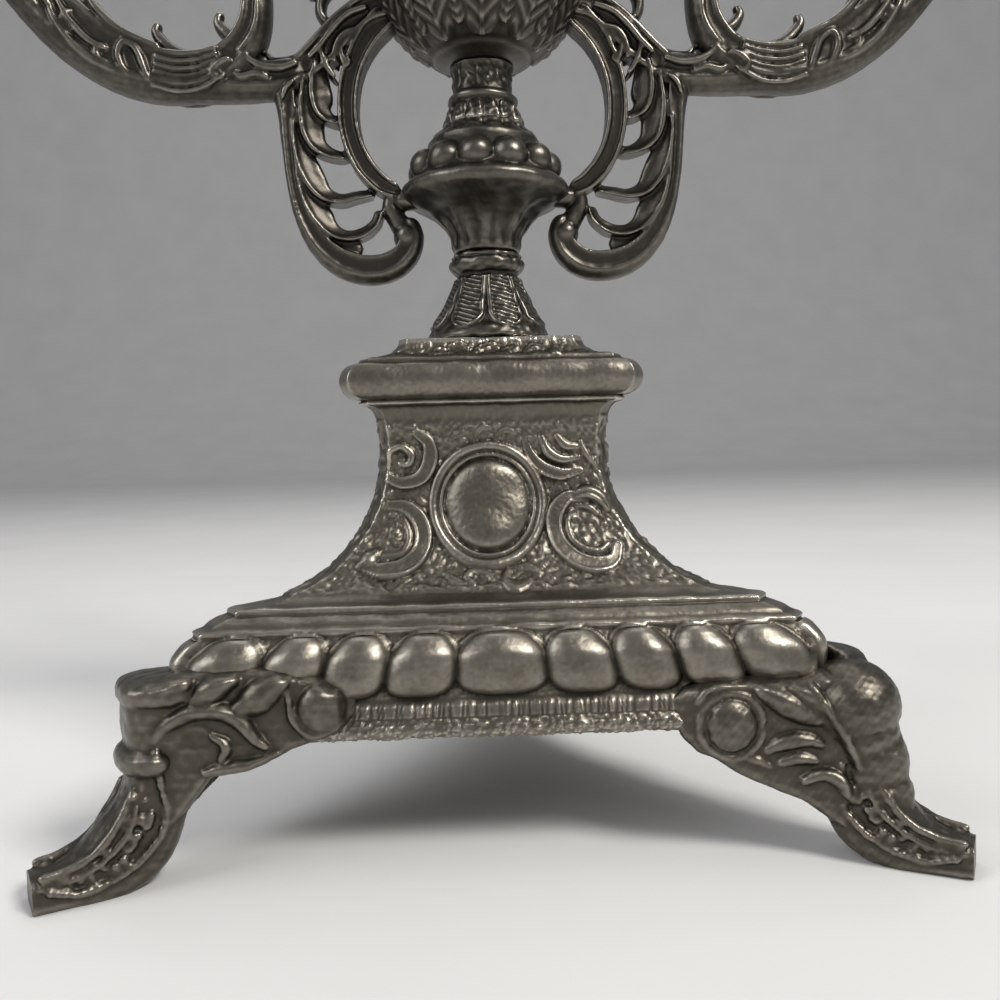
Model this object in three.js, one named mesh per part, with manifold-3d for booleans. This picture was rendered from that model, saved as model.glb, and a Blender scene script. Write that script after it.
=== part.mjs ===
// A three-light table candelabra in dark cast metal.
// A three-sided waisted plinth with canted corners stands on three splayed feet. A column of
// stacked castings rises from it, drawn together by one tie rod. Two pierced scroll arms are pinned
// to the column's knop and screwed to its urn. Each light is a drip pan, a candle cup and a loose
// nozzle that lifts out for cleaning.
// Millimetres, +Z up, one face of the plinth towards -Y. The column stands on the Z axis while it is
// built. At the end all of it moves so that the origin is the middle of the floor under the whole.
import * as THREE from "three";
import { mergeVertices } from "three/addons/utils/BufferGeometryUtils.js";
import Module from "manifold-3d";

const wasm = await Module();
wasm.setup();

// Fits
const SEAM = 0.3; // between castings that seat on each other
const BROAD = 18; // sides of the widest turned pieces
const FINE = 12; // sides of the other turned pieces
const COARSE = 8; // sides of rods, screws and pins
const SLIVER = 0.02; // edges and steps smaller than this, left by cuts, are merged away

// Base casting. A reach is from the axis square to one of the three faces.
const FOOT_HEIGHT = 24; // floor to the underside of the apron
const APRON_REACH = 36.4;
const APRON_HEIGHT = 7.2;
const BAND_REACH = APRON_REACH - 0.2; // the band's wall behind the gadroons
const BAND_HEIGHT = 12.2; // the row of gadroons
const RAIL_REACH = APRON_REACH - 2; // lower edge of the moulded rail
const RAIL_TOP_REACH = 30.2;
const RAIL_HEIGHT = 4.2;
const WAIST_REACH = 14.5;
const WAIST_RISE = 29.4; // from the rail to the narrowest point
const COVE_RISE = 9.4; // from the narrowest point to the slab
const SLAB_REACH = 18.9;
const SLAB_HEIGHT = 8;
const ROOF_REACH = 12.4; // flat seat of the column
const ROOF_HEIGHT = 5.2;
const CANT = 3; // width cut off each corner
const CANT_GROWTH = 0.07; // more cant for each millimetre of reach
const SHELL_WALL = 3;
const CEILING = 8; // solid metal between the hollow and the column's seat

// Gadroons, from the middle of a face outwards
const GADROON_WIDTHS = [16.8, 12.8, 11.6, 11.4, 13.6];
const GADROON_BULGE = 2.9;
const CORNER_GADROON_HALF = 4.4;

// Moulding along the foot of the apron, between the feet's scrolls
const FILLET_RADIUS = 1.9;
const FILLET_HALF_LENGTH = 28.6;

// Oval cartouche on each face, a little left of the middle, between scrolls
const OVAL_ASIDE = -1.4;
const OVAL_BELOW_WAIST = 11.6; // its centre, down from the narrowest point
const OVAL_HALF_WIDTH = 11;
const OVAL_HALF_HEIGHT = 11.9;
const OVAL_RIM = 1.1;
const OVAL_INNER = 0.81; // size of the inner ring for each unit of the outer one
const BOSS_HALF_WIDTH = 7.3;
const BOSS_HALF_HEIGHT = 8.1;
const BOSS_RISE = 2;

// Feet
const FOOT_COUNT = 3;
const TOE_REACH = 93; // from the axis to the end of the toe
const TOE_THICKNESS = 5.4;
const HEEL_HEIGHT = 3; // lower corner of a wing, beside the leg
const ANKLE_REACH = 74.5;
const ANKLE_HEIGHT = 15;
const KNEE_REACH = 70;
const KNEE_HEIGHT = 28;
const WING_THICKNESS = 4.2;
const FOOT_SCREW_RADIUS = 1.5;
const FOOT_SCREW_HEAD = 2.8;
const FOOT_SCREW_DEPTH = 7; // into the foot

// Column, heights of the stacked castings
const STEM_FOOT_HEIGHT = 18.4;
const STEM_FOOT_RADIUS = 12.8;
const STEM_WAIST = 6.3;
const STEM_RING = 7.7;
const KNOP_HEIGHT = 26.4;
const KNOP_RIM = 16.9;
const BEAD_COUNT = 12;
const BEAD_RADIUS = 3;
const BEAD_CIRCLE = 11.9;
const NECK_HEIGHT = 12.4;
const NECK_RADIUS = 7.5;
const URN_HEIGHT = 27;
const URN_RADIUS = 23.6;
const URN_WALL = 2.4;
const COVER_HEIGHT = 20;
const SPINDLE_HEIGHT = 48;
const SPINDLE_RADIUS = 8.2;
const ROD_RADIUS = 2.5;
const ROD_INTO_SPINDLE = 20;
const NUT_ACROSS = 9;
const NUT_HEIGHT = 4;
const WASHER_RADIUS = 7;
const WASHER_THICKNESS = 1.5;

// Arms
const ARM_REACH = 109; // column axis to the side lights
const ARM_SEAT_HEIGHT = 209; // top of the arm's tip
const ARM_TIP_RADIUS = 5.4;
const TIP_BELOW_SEAT = 4; // the last knot of the arm under its seat
const SHOULDER_SUNK = 3.6; // the arm's shoulder starts this far inside the urn's widest circle
const PIN_RADIUS = 1.5;
const PIN_LENGTH = 8;
const ARM_SCREW_RADIUS = 1.5;
const ARM_SCREW_HEAD = 3;
const ARM_SCREW_LENGTH = 10;

// Lights
const PAN_RADIUS = 21;
const PAN_HEIGHT = 5;
const PAN_WALL = 1.5;
const PAN_HUB = 3;
const CUP_HEIGHT = 25;
const CUP_RIM = 14;
const CUP_FLOOR = 6;
const CANDLE_RADIUS = 11;
const NOZZLE_WALL = 0.9;
const NOZZLE_DEPTH = 15;
const NOZZLE_FLANGE = 17;
const NOZZLE_LIP = 2.4;
const CUP_SCREW_RADIUS = 1.6;
const CUP_SCREW_HEAD = 3.6;
const CUP_SCREW_INTO_SEAT = 8;

// Finishes: a blackened casting, one with browned high spots, and plain steel inside
const DARK_CASTING = new THREE.MeshStandardMaterial({ color: 0x3a3631, roughness: 0.42, metalness: 0.9 });
const BROWNED_CASTING = new THREE.MeshStandardMaterial({ color: 0x4a443b, roughness: 0.45, metalness: 0.9 });
const STEEL = new THREE.MeshStandardMaterial({ color: 0x77757a, roughness: 0.38, metalness: 1 });

// Solids and meshes

function solidOf(geometry) {
  const bare = geometry.index ? geometry.toNonIndexed() : geometry.clone();
  bare.deleteAttribute("normal");
  bare.deleteAttribute("uv");
  const merged = mergeVertices(bare, 1e-4);
  const triVerts = new Uint32Array(merged.index.array);
  const vertProperties = merged.attributes.position.array;
  return new wasm.Manifold(new wasm.Mesh({ numProp: 3, vertProperties, triVerts }));
}

function geometryOf(solid) {
  const mesh = solid.simplify(SLIVER).getMesh();
  const points = [];
  for (let i = 0; i < mesh.numVert; i++) {
    points.push(...mesh.vertProperties.subarray(i * mesh.numProp, i * mesh.numProp + 3));
  }
  const geometry = new THREE.BufferGeometry();
  geometry.setAttribute("position", new THREE.Float32BufferAttribute(points, 3));
  geometry.setIndex(Array.from(mesh.triVerts));
  geometry.computeVertexNormals();
  return geometry;
}

const fuse = (solids) => solids.reduce((whole, next) => whole.add(next));
const cut = (solid, tools) => tools.reduce((rest, tool) => rest.subtract(tool), solid);

// A closed skin over rings of points that run counter-clockwise seen from the last ring.
function skin(rings) {
  const sides = rings[0].length;
  const points = rings.flat();
  const faces = [];
  for (let i = 0; i + 1 < rings.length; i++) {
    for (let j = 0; j < sides; j++) {
      const a = i * sides + j;
      const b = i * sides + ((j + 1) % sides);
      faces.push(a, b, b + sides, a, b + sides, a + sides);
    }
  }
  const middle = (ring) => ring.reduce((sum, p) => sum.add(p), new THREE.Vector3()).divideScalar(sides);
  const first = points.push(middle(rings[0])) - 1;
  const last = points.push(middle(rings.at(-1))) - 1;
  const top = (rings.length - 1) * sides;
  for (let j = 0; j < sides; j++) {
    const k = (j + 1) % sides;
    faces.push(first, k, j, last, top + j, top + k);
  }
  const geometry = new THREE.BufferGeometry().setFromPoints(points);
  geometry.setIndex(faces);
  return geometry;
}

// A turned piece about the Z axis from [radius, height] pairs that start and end on the axis.
function turned(profile, sides = FINE) {
  const points = profile.map(([radius, height]) => new THREE.Vector2(radius, height));
  return new THREE.LatheGeometry(points, sides).rotateX(Math.PI / 2);
}

// A turned piece whose radius swells and dips around the axis, from [radius, height, swell] rows.
function fluted(rows, sides, wave) {
  return skin(
    rows.map(([radius, height, swell]) =>
      Array.from({ length: sides }, (_, i) => {
        const angle = (2 * Math.PI * i) / sides;
        const r = radius + swell * wave(angle);
        return new THREE.Vector3(r * Math.cos(angle), r * Math.sin(angle), height);
      }),
    ),
  );
}

// Radius of a turned outline at a height between two of its points
function radiusAt(outline, z) {
  const i = outline.findIndex(([, height]) => height > z);
  const [[r0, z0], [r1, z1]] = [outline[i - 1], outline[i]];
  return THREE.MathUtils.mapLinear(z, z0, z1, r0, r1);
}

function rod(radius, low, high, sides = COARSE) {
  return turned([[0, low], [radius, low], [radius, high], [0, high]], sides);
}

function ball(rx, ry, rz, around = 8, up = 5) {
  return new THREE.SphereGeometry(1, around, up).rotateX(Math.PI / 2).scale(rx, ry, rz);
}

// A pillow: a ball swollen towards its box
function pillow(rx, ry, rz, around = 6, up = 3) {
  const geometry = ball(1, 1, 1, around, up);
  const at = geometry.attributes.position;
  for (let i = 0; i < at.count; i++) {
    const point = new THREE.Vector3().fromBufferAttribute(at, i);
    const size = Math.cbrt(point.toArray().reduce((sum, value) => sum + Math.abs(value) ** 3, 0));
    at.setXYZ(i, ...point.divideScalar(size).toArray());
  }
  return geometry.scale(rx, ry, rz);
}

function block(x, y, z) {
  return new THREE.BoxGeometry(x, y, z);
}

// A bar bent along a smooth curve through hand-set [x, z, half thickness, half depth] knots. The
// first corner of its section lies `phase` of a side round from the bar's own side.
function stroke(knots, steps, sides = 8, phase = 0.5) {
  const places = knots.map(([x, z]) => new THREE.Vector3(x, 0, z));
  const spine = new THREE.CatmullRomCurve3(places, false, "centripetal");
  const across = knots.map((knot) => knot[2]);
  const deep = knots.map((knot) => knot[3]);
  const between = (values, t) => {
    const place = t * (values.length - 1);
    const i = Math.min(values.length - 2, Math.floor(place));
    return THREE.MathUtils.lerp(values[i], values[i + 1], place - i);
  };
  return skin(
    Array.from({ length: steps + 1 }, (_, i) => {
      const t = i / steps;
      const at = spine.getPoint(t);
      const along = spine.getTangent(t);
      const side = new THREE.Vector3(along.z, 0, -along.x);
      return Array.from({ length: sides }, (__, j) => {
        const angle = (2 * Math.PI * (j + phase)) / sides;
        const point = at.clone().addScaledVector(side, between(across, t) * Math.cos(angle));
        point.y += between(deep, t) * Math.sin(angle);
        return point;
      });
    }),
  );
}

// A stroke with three sides, one edge of it to the front: a ridge when half sunk into a surface
function ridge(knots, steps) {
  return stroke(knots.map(([x, z, thick, deep]) => [x, z, thick * 1.4, deep]), steps, 3, 0.25);
}

function named(name, geometry, material) {
  const mesh = new THREE.Mesh(geometry, material);
  mesh.name = name;
  return mesh;
}

// Heights of the base, from the floor up
const APRON_TOP = FOOT_HEIGHT + APRON_HEIGHT;
const BAND_TOP = APRON_TOP + BAND_HEIGHT;
const RAIL_TOP = BAND_TOP + RAIL_HEIGHT;
const WAIST_Z = RAIL_TOP + WAIST_RISE;
const SLAB_Z = WAIST_Z + COVE_RISE;
const SLAB_TOP = SLAB_Z + SLAB_HEIGHT;
const COLUMN_Z = SLAB_TOP + ROOF_HEIGHT;

const THIRD = 360 / FOOT_COUNT;
const THIRDS = Array.from({ length: FOOT_COUNT }, (_, i) => i * THIRD);
const FRONT_CORNER = -THREE.MathUtils.degToRad(90 - THIRD / 2); // direction of the front right corner
const SHARPNESS = Math.tan(Math.PI / FOOT_COUNT); // half side of the uncut plan for each unit of reach
const CORNER_STRETCH = 1 / Math.cos(Math.PI / FOOT_COUNT); // uncut corner for each unit of reach

const cantAt = (reach) => CANT + reach * CANT_GROWTH;
const halfFace = (reach, cant = cantAt(reach)) => reach * SHARPNESS - cant;
const cornerReach = (reach, cant = cantAt(reach)) =>
  reach * CORNER_STRETCH - cant * Math.sin(Math.PI / FOOT_COUNT);

// One level of the three-sided plan, counter-clockwise, its corners cut off
function planRing(reach, z, cant = cantAt(reach)) {
  const half = halfFace(reach, cant);
  return THIRDS.flatMap((turn) =>
    [-half, half].map((x) => {
      const axis = new THREE.Vector3(0, 0, 1);
      return new THREE.Vector3(x, -reach, z).applyAxisAngle(axis, THREE.MathUtils.degToRad(turn));
    }),
  );
}

// A quarter of an ellipse from a steep start to a flat end, as [reach, height] pairs
function quarter(steps, steepReach, flatReach, steepZ, flatZ) {
  return Array.from({ length: steps + 1 }, (_, i) => {
    const angle = (Math.PI / 2) * (i / steps);
    return [
      steepReach + (flatReach - steepReach) * (1 - Math.cos(angle)),
      steepZ + (flatZ - steepZ) * Math.sin(angle),
    ];
  });
}

// The hollow sweep of the plinth's face below the waist
function plinthReachAt(z) {
  const angle = Math.asin(THREE.MathUtils.clamp((WAIST_Z - z) / WAIST_RISE, 0, 1));
  return WAIST_REACH + (RAIL_TOP_REACH - WAIST_REACH) * (1 - Math.cos(angle));
}

function baseOutline() {
  const slabEdge = SLAB_REACH - 2;
  const nose = Array.from({ length: 5 }, (_, i) => {
    const angle = Math.PI * (i / 4 - 0.5);
    return [slabEdge + 2 * Math.cos(angle), SLAB_Z + (SLAB_HEIGHT / 2) * (1 + Math.sin(angle))];
  });
  return [
    [APRON_REACH, FOOT_HEIGHT],
    [APRON_REACH, APRON_TOP],
    [BAND_REACH, APRON_TOP + 0.4],
    [RAIL_REACH, BAND_TOP],
    [RAIL_REACH - 0.8, BAND_TOP + RAIL_HEIGHT / 3],
    [RAIL_TOP_REACH + 1.2, RAIL_TOP - 0.5],
    ...quarter(6, WAIST_REACH, RAIL_TOP_REACH, WAIST_Z, RAIL_TOP).reverse(),
    ...quarter(3, WAIST_REACH, slabEdge - 0.8, WAIST_Z, SLAB_Z - 0.5).slice(1),
    ...nose,
    ...quarter(3, ROOF_REACH, slabEdge - 1.4, COLUMN_Z, SLAB_TOP + 0.7).reverse(),
  ];
}

// The inside follows the outside one wall in and down, up to the solid top.
function baseHollow() {
  const sweep = quarter(3, WAIST_REACH, RAIL_TOP_REACH, WAIST_Z, RAIL_TOP).reverse();
  const inside = [
    [APRON_REACH - SHELL_WALL, FOOT_HEIGHT - 1],
    [APRON_REACH - SHELL_WALL, BAND_TOP - SHELL_WALL],
    ...sweep.map(([reach, z]) => [reach - SHELL_WALL, z - SHELL_WALL]),
    [WAIST_REACH - SHELL_WALL, COLUMN_Z - CEILING],
  ];
  return skin(inside.map(([reach, z]) => planRing(reach, z, cantAt(reach) / 2)));
}

// Relief drawn upright at y = 0, pushed out until it lies on the plinth's curved front face
function onWaist(relief) {
  const at = relief.attributes.position;
  for (let i = 0; i < at.count; i++) {
    at.setY(i, at.getY(i) - plinthReachAt(at.getZ(i)));
  }
  return relief;
}

function gadroons() {
  const middleZ = APRON_TOP + BAND_HEIGHT / 2;
  const tall = BAND_HEIGHT / 2;
  const lobes = [];
  let edge = -GADROON_WIDTHS[0] / 2;
  GADROON_WIDTHS.forEach((width, i) => {
    const x = edge + width / 2;
    edge += width;
    for (const side of i === 0 ? [1] : [1, -1]) {
      const lobe = pillow(width / 2 - 0.1, GADROON_BULGE, tall);
      lobes.push(lobe.translate(side * x, -BAND_REACH, middleZ));
    }
  });
  const corner = pillow(GADROON_BULGE, CORNER_GADROON_HALF, tall);
  lobes.push(corner.translate(cornerReach(BAND_REACH), 0, middleZ).rotateZ(FRONT_CORNER));
  return lobes;
}

// The carving round the oval: strokes of [x, z, half width, rise] from the oval's centre.
const FACE_SCROLLS = [
  // lower left and lower right: two big C-scrolls, the right one with a leaf along its head
  { steps: 7, knots: [
    [-20.2, 0.2, 0.9, 0.9], [-16.8, -0.2, 1.5, 1.1], [-13.9, -3, 2, 1.2], [-13.1, -6.6, 2.1, 1.2],
    [-14.4, -10, 2, 1.2], [-17.4, -12.2, 1.8, 1.2], [-21.2, -12.6, 1.6, 1.1], [-24.4, -11.8, 1.2, 1],
  ] },
  { steps: 8, knots: [
    [20.2, 0.4, 0.9, 0.9], [16.4, 0.9, 1.5, 1.1], [13.8, -1.6, 2, 1.2], [13.2, -5.3, 2.1, 1.2],
    [14.4, -8.8, 2, 1.2], [17.4, -11.7, 1.8, 1.2], [21.2, -12.6, 1.6, 1.1], [24.8, -11.6, 1.4, 1],
    [25.8, -8.8, 1, 0.9],
  ] },
  { steps: 3, knots: [[17, 1, 1, 1], [20.4, 1.7, 1.7, 1.4], [24, -1.2, 0.9, 0.9]] },
  // upper left: a thick hook round a small curl
  { steps: 6, knots: [
    [-21.2, 6.4, 0.9, 0.9], [-17.6, 4.6, 1.4, 1.1], [-13.5, 5.6, 1.8, 1.2], [-11.5, 9.2, 1.8, 1.2],
    [-11.8, 12.8, 1.6, 1.1], [-14, 14.8, 1, 0.9],
  ] },
  { steps: 4, knots: [
    [-20.2, 8, 0.8, 0.9], [-19.6, 11, 1.1, 1], [-17.2, 12, 1.2, 1], [-15.2, 10, 1.2, 1],
    [-16.6, 8, 1, 0.9],
  ] },
  // upper right: two lobes of a comma leaf
  { steps: 4, knots: [
    [7.8, 12.8, 0.9, 0.9], [9, 9.4, 1.4, 1.1], [11.4, 6.8, 1.7, 1.2], [15, 5.6, 1.6, 1.1],
    [18.8, 6.2, 1, 0.9],
  ] },
  { steps: 3, knots: [
    [11.4, 13, 0.9, 0.9], [12.8, 10, 1.5, 1.1], [15.6, 8.6, 1.4, 1.1], [18.6, 9, 0.9, 0.9],
  ] },
];

// The gadroons of the front face and its right corner, the fillet below, and the cartouche
function faceOrnament() {
  const fillet = new THREE.CylinderGeometry(FILLET_RADIUS, FILLET_RADIUS, 2 * FILLET_HALF_LENGTH, 8);
  fillet.rotateZ(Math.PI / 2).translate(0, -APRON_REACH, FOOT_HEIGHT + FILLET_RADIUS + 0.1);
  const rings = [1, OVAL_INNER].map((size) => {
    const ring = new THREE.TorusGeometry(OVAL_HALF_WIDTH * size, OVAL_RIM * size, 4, 12);
    return ring.rotateX(Math.PI / 2).scale(1, 1, OVAL_HALF_HEIGHT / OVAL_HALF_WIDTH);
  });
  const boss = ball(BOSS_HALF_WIDTH, BOSS_RISE, BOSS_HALF_HEIGHT, 8, 4);
  const scrolls = FACE_SCROLLS.map(({ knots, steps }) => ridge(knots, steps));
  const carving = [...rings, boss, ...scrolls].map((relief) =>
    onWaist(relief.translate(OVAL_ASIDE, 0, WAIST_Z - OVAL_BELOW_WAIST)),
  );
  return fuse([...gadroons(), fillet, ...carving].map(solidOf));
}

const footScrewZ = FOOT_HEIGHT + APRON_HEIGHT / 2;
const apronCorner = cornerReach(APRON_REACH);
const hollowReach = APRON_REACH - SHELL_WALL;
const hollowCorner = cornerReach(hollowReach, cantAt(hollowReach) / 2);

// A rod that points outwards along +X at the height of the foot screws
function footRod(radius, from, to) {
  return rod(radius, from, to).rotateY(Math.PI / 2).translate(0, 0, footScrewZ);
}

function baseShell() {
  const face = faceOrnament();
  const holes = [
    footRod(FOOT_SCREW_RADIUS + SEAM, hollowCorner - 5, apronCorner + 5),
    footRod(FOOT_SCREW_HEAD + SEAM, hollowCorner - 8, hollowCorner),
  ].map((hole) => solidOf(hole.rotateZ(FRONT_CORNER)));
  const body = solidOf(skin(baseOutline().map(([reach, z]) => planRing(reach, z))));
  const whole = fuse([body, ...THIRDS.map((turn) => face.rotate([0, 0, turn]))]);
  const rodHole = solidOf(rod(ROD_RADIUS + SEAM, WAIST_Z, COLUMN_Z + 5));
  const screwHoles = THIRDS.flatMap((turn) => holes.map((hole) => hole.rotate([0, 0, turn])));
  return cut(whole, [solidOf(baseHollow()), rodHole, ...screwHoles]);
}

// Feet: built pointing along +X, then turned to the three corners

// The leg's middle line: [reach, height, half thickness, half width].
function footLeg() {
  const toeZ = TOE_THICKNESS / 2;
  return solidOf(stroke([
    [KNEE_REACH - 1, KNEE_HEIGHT + 3, 9, 7.5],
    [KNEE_REACH + 1, KNEE_HEIGHT - 5, 9.6, 7.2],
    [ANKLE_REACH, ANKLE_HEIGHT, 8, 5.6],
    [ANKLE_REACH + 3, ANKLE_HEIGHT / 2, 6.6, 4.8],
    [TOE_REACH - 9, toeZ + 1, 4.6, 5],
    [TOE_REACH, toeZ, toeZ + 0.8, 4.6],
  ], 7, 8));
}

// The two wings of a foot, drawn on the front face as [x, z, ...] places. The right one is a deep
// plate with a low scroll. The other has a smaller and higher scroll, and an arch over a recess.
const RIGHT_WING = {
  volute: { x: 40, z: 26, radius: 6.2 },
  sag: [52, 14],
  lobes: [[50, 29, 4.4, 3.2], [56.6, 30, 4.2, 3.8]],
  ridges: [
    [[55.5, 32, 1.2, 1.6], [60, 25, 1.4, 2], [63, 20, 1.4, 2.2], [65, 13, 1.2, 2]],
    [[48.6, 19, 1, 1.2], [52.6, 22.4, 1.4, 1.5], [57, 21, 1.1, 1.4]],
  ],
  recesses: [],
};
const ARCHED_WING = {
  volute: { x: 34.4, z: 29.8, radius: 4.9 },
  sag: [54, 23],
  lobes: [[42.8, 33, 4.6, 2.8], [50.4, 34.4, 4.6, 3], [58, 35, 4.6, 3.2], [46.4, 20.8, 6.4, 1.9]],
  ridges: [
    [
      [64.4, 22.6, 1.1, 1.6], [60.6, 28.6, 1.4, 1.6], [55, 31.2, 1.5, 1.6],
      [49, 30.4, 1.4, 1.6], [44.8, 25, 1, 1.4],
    ],
  ],
  recesses: [[54.6, 25.2, 5.4, 3.9]],
};

// A wing with its scroll at the inner end, and a lower edge that sweeps down to the heel
function footWing({ volute, sag, lobes, ridges, recesses }) {
  const corner = ANKLE_REACH * Math.cos(FRONT_CORNER);
  const outline = new THREE.Shape();
  outline.moveTo(corner, APRON_TOP - SEAM);
  outline.lineTo(volute.x, volute.z + volute.radius);
  outline.absarc(volute.x, volute.z, volute.radius, Math.PI / 2, (3 * Math.PI) / 2, false);
  outline.quadraticCurveTo(...sag, corner, HEEL_HEIGHT);
  const plate = new THREE.ExtrudeGeometry(outline, {
    depth: WING_THICKNESS - 1.6,
    bevelThickness: 0.8,
    bevelSize: 0.8,
    bevelOffset: -0.8,
    bevelSegments: 1,
    curveSegments: 3,
  });
  plate.rotateX(Math.PI / 2).translate(0, -APRON_REACH - SEAM - 0.8, 0);
  const surface = -APRON_REACH - SEAM - WING_THICKNESS;
  const pupil = volute.radius * 0.62;
  const eye = ball(pupil, 2, pupil, 6, 4).translate(volute.x, surface + 0.6, volute.z);
  const leaves = lobes.map(([x, z, rx, rz]) => ball(rx, 3, rz, 6, 3).translate(x, surface + 1, z));
  const bars = ridges.map((knots) => ridge(knots, knots.length + 1).translate(0, surface + 0.4, 0));
  const pockets = recesses.map(([x, z, rx, rz]) => ball(rx, 1.6, rz, 6, 4).translate(x, surface, z));
  const wing = fuse([cut(solidOf(plate), pockets.map(solidOf)), ...[eye, ...leaves, ...bars].map(solidOf)]);
  return wing.rotate([0, 0, -THREE.MathUtils.radToDeg(FRONT_CORNER)]);
}

// What the shell takes up next to a foot, with a seam all round, turned so that a corner is on +X
function shellRoom() {
  const turn = -THREE.MathUtils.radToDeg(FRONT_CORNER);
  const bandReach = BAND_REACH + GADROON_BULGE + SEAM;
  const apron = [FOOT_HEIGHT - SEAM, APRON_TOP].map((z) => planRing(APRON_REACH + SEAM, z));
  const band = [APRON_TOP - SEAM, BAND_TOP + 5].map((z) => planRing(bandReach, z));
  return [apron, band].map((rings) => solidOf(skin(rings)).rotate([0, 0, turn]));
}

function footSolid() {
  const wings = [footWing(RIGHT_WING), footWing(ARCHED_WING).mirror([0, 1, 0])];
  const knee = solidOf(ball(11, 11, 9.5).translate(KNEE_REACH, 0, KNEE_HEIGHT));
  const floor = solidOf(block(4 * TOE_REACH, 4 * TOE_REACH, TOE_REACH).translate(0, 0, -TOE_REACH / 2));
  const hole = solidOf(footRod(FOOT_SCREW_RADIUS + SEAM, apronCorner - 2, apronCorner + FOOT_SCREW_DEPTH));
  return cut(fuse([footLeg(), knee, ...wings]), [...shellRoom(), floor, hole]);
}

function footScrew() {
  const head = hollowCorner - SEAM;
  return turned([
    [0, head - 2.2],
    [FOOT_SCREW_HEAD - 0.8, head - 2.2],
    [FOOT_SCREW_HEAD, head - 1.2],
    [FOOT_SCREW_HEAD, head],
    [FOOT_SCREW_RADIUS, head],
    [FOOT_SCREW_RADIUS, apronCorner + FOOT_SCREW_DEPTH - 1],
    [0, apronCorner + FOOT_SCREW_DEPTH - 1],
  ], COARSE).rotateY(Math.PI / 2).translate(0, 0, footScrewZ);
}

// Column: each casting stands on the one below with one seam between them
const STEM_Z = COLUMN_Z + SEAM;
const KNOP_Z = STEM_Z + STEM_FOOT_HEIGHT + SEAM;
const NECK_Z = KNOP_Z + KNOP_HEIGHT + SEAM;
const URN_Z = NECK_Z + NECK_HEIGHT + SEAM;
const COVER_Z = URN_Z + URN_HEIGHT + SEAM;
const SPINDLE_Z = COVER_Z + COVER_HEIGHT + SEAM;
const SPINDLE_TOP = SPINDLE_Z + SPINDLE_HEIGHT;

function bored(solid, radius, low, high) {
  return cut(solid, [solidOf(rod(radius, low, high))]);
}

// The leaf-wrapped foot of the column: eight tongues spread at the floor of a flared cone.
function stemFoot() {
  const petals = (angle) => Math.abs(Math.cos(4 * angle)) - 0.5;
  const h = STEM_FOOT_HEIGHT;
  const rows = [
    [STEM_FOOT_RADIUS, 0, 0.6],
    [STEM_FOOT_RADIUS - 0.6, 1.6, 1],
    [STEM_FOOT_RADIUS - 3, 4.4, 0.9],
    [STEM_WAIST + 1.5, 9.4, 0.5],
    [STEM_WAIST, h - 4.2, 0],
    [STEM_RING, h - 3.2, 0],
    [STEM_RING, h - 1.1, 0],
    [STEM_WAIST + 0.3, h, 0],
  ];
  const body = solidOf(fluted(rows, 24, petals)).translate([0, 0, STEM_Z]);
  return bored(body, ROD_RADIUS + SEAM, STEM_Z - 1, KNOP_Z + 1);
}

// The inverted bell with its sharp rim, and the ring of beads above it.
function knopOutline(grow = 0) {
  const h = KNOP_HEIGHT;
  return [
    [0, -grow],
    [STEM_WAIST + 0.4 + grow, -grow],
    [STEM_WAIST + 1.2 + grow, h * 0.13],
    [KNOP_RIM * 0.56 + grow, h * 0.26],
    [KNOP_RIM * 0.76 + grow, h * 0.36],
    [KNOP_RIM + grow, h * 0.48],
    [KNOP_RIM - 0.2 + grow, h * 0.56],
    [BEAD_CIRCLE + 1.4 + grow, h * 0.62],
    [BEAD_CIRCLE - 1.4 + grow, h * 0.84],
    [NECK_RADIUS + 0.6 + grow, h + grow],
    [0, h + grow],
  ].map(([radius, z]) => [radius, z + KNOP_Z]);
}

function beadKnop() {
  const beads = Array.from({ length: BEAD_COUNT }, (_, i) =>
    solidOf(
      ball(BEAD_RADIUS, BEAD_RADIUS, BEAD_RADIUS, 6, 3)
        .translate(BEAD_CIRCLE, 0, KNOP_Z + KNOP_HEIGHT * 0.71)
        .rotateZ((2 * Math.PI * (i + 0.5)) / BEAD_COUNT),
    ),
  );
  const body = fuse([solidOf(turned(knopOutline(), BROAD)), ...beads]);
  return cut(body, [solidOf(rod(ROD_RADIUS + SEAM, KNOP_Z - 1, NECK_Z + 1)), ...pinHoles()]);
}

function stemNeck() {
  const h = NECK_HEIGHT;
  const profile = [
    [0, 0], [NECK_RADIUS, 0], [NECK_RADIUS - 0.3, h * 0.3], [NECK_RADIUS - 0.8, h * 0.58],
    [NECK_RADIUS - 0.1, h * 0.62], [NECK_RADIUS - 0.1, h * 0.74], [NECK_RADIUS - 1.3, h * 0.8],
    [NECK_RADIUS - 1.4, h], [0, h],
  ];
  const body = solidOf(turned(profile.map(([radius, z]) => [radius, z + NECK_Z])));
  return bored(body, ROD_RADIUS + SEAM, NECK_Z - 1, URN_Z + 1);
}

// Outside of the urn, from its foot to its rim
function urnOutline(grow = 0) {
  const h = URN_HEIGHT;
  const r = URN_RADIUS;
  return [
    [NECK_RADIUS - 0.6, 0], [r * 0.42, h * 0.06], [r * 0.62, h * 0.16], [r * 0.78, h * 0.3],
    [r * 0.93, h * 0.47], [r, h * 0.66], [r * 0.98, h * 0.84], [r * 0.9, h],
  ].map(([radius, z]) => [radius + grow, z + URN_Z]);
}

// The hollow of the urn, one wall in from the outside, from its floor to its mouth
function urnInside() {
  const mouth = URN_Z + URN_HEIGHT;
  return urnOutline(-URN_WALL).slice(2).map(([radius, z]) => [radius, Math.min(z + URN_WALL / 2, mouth)]);
}

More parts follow.
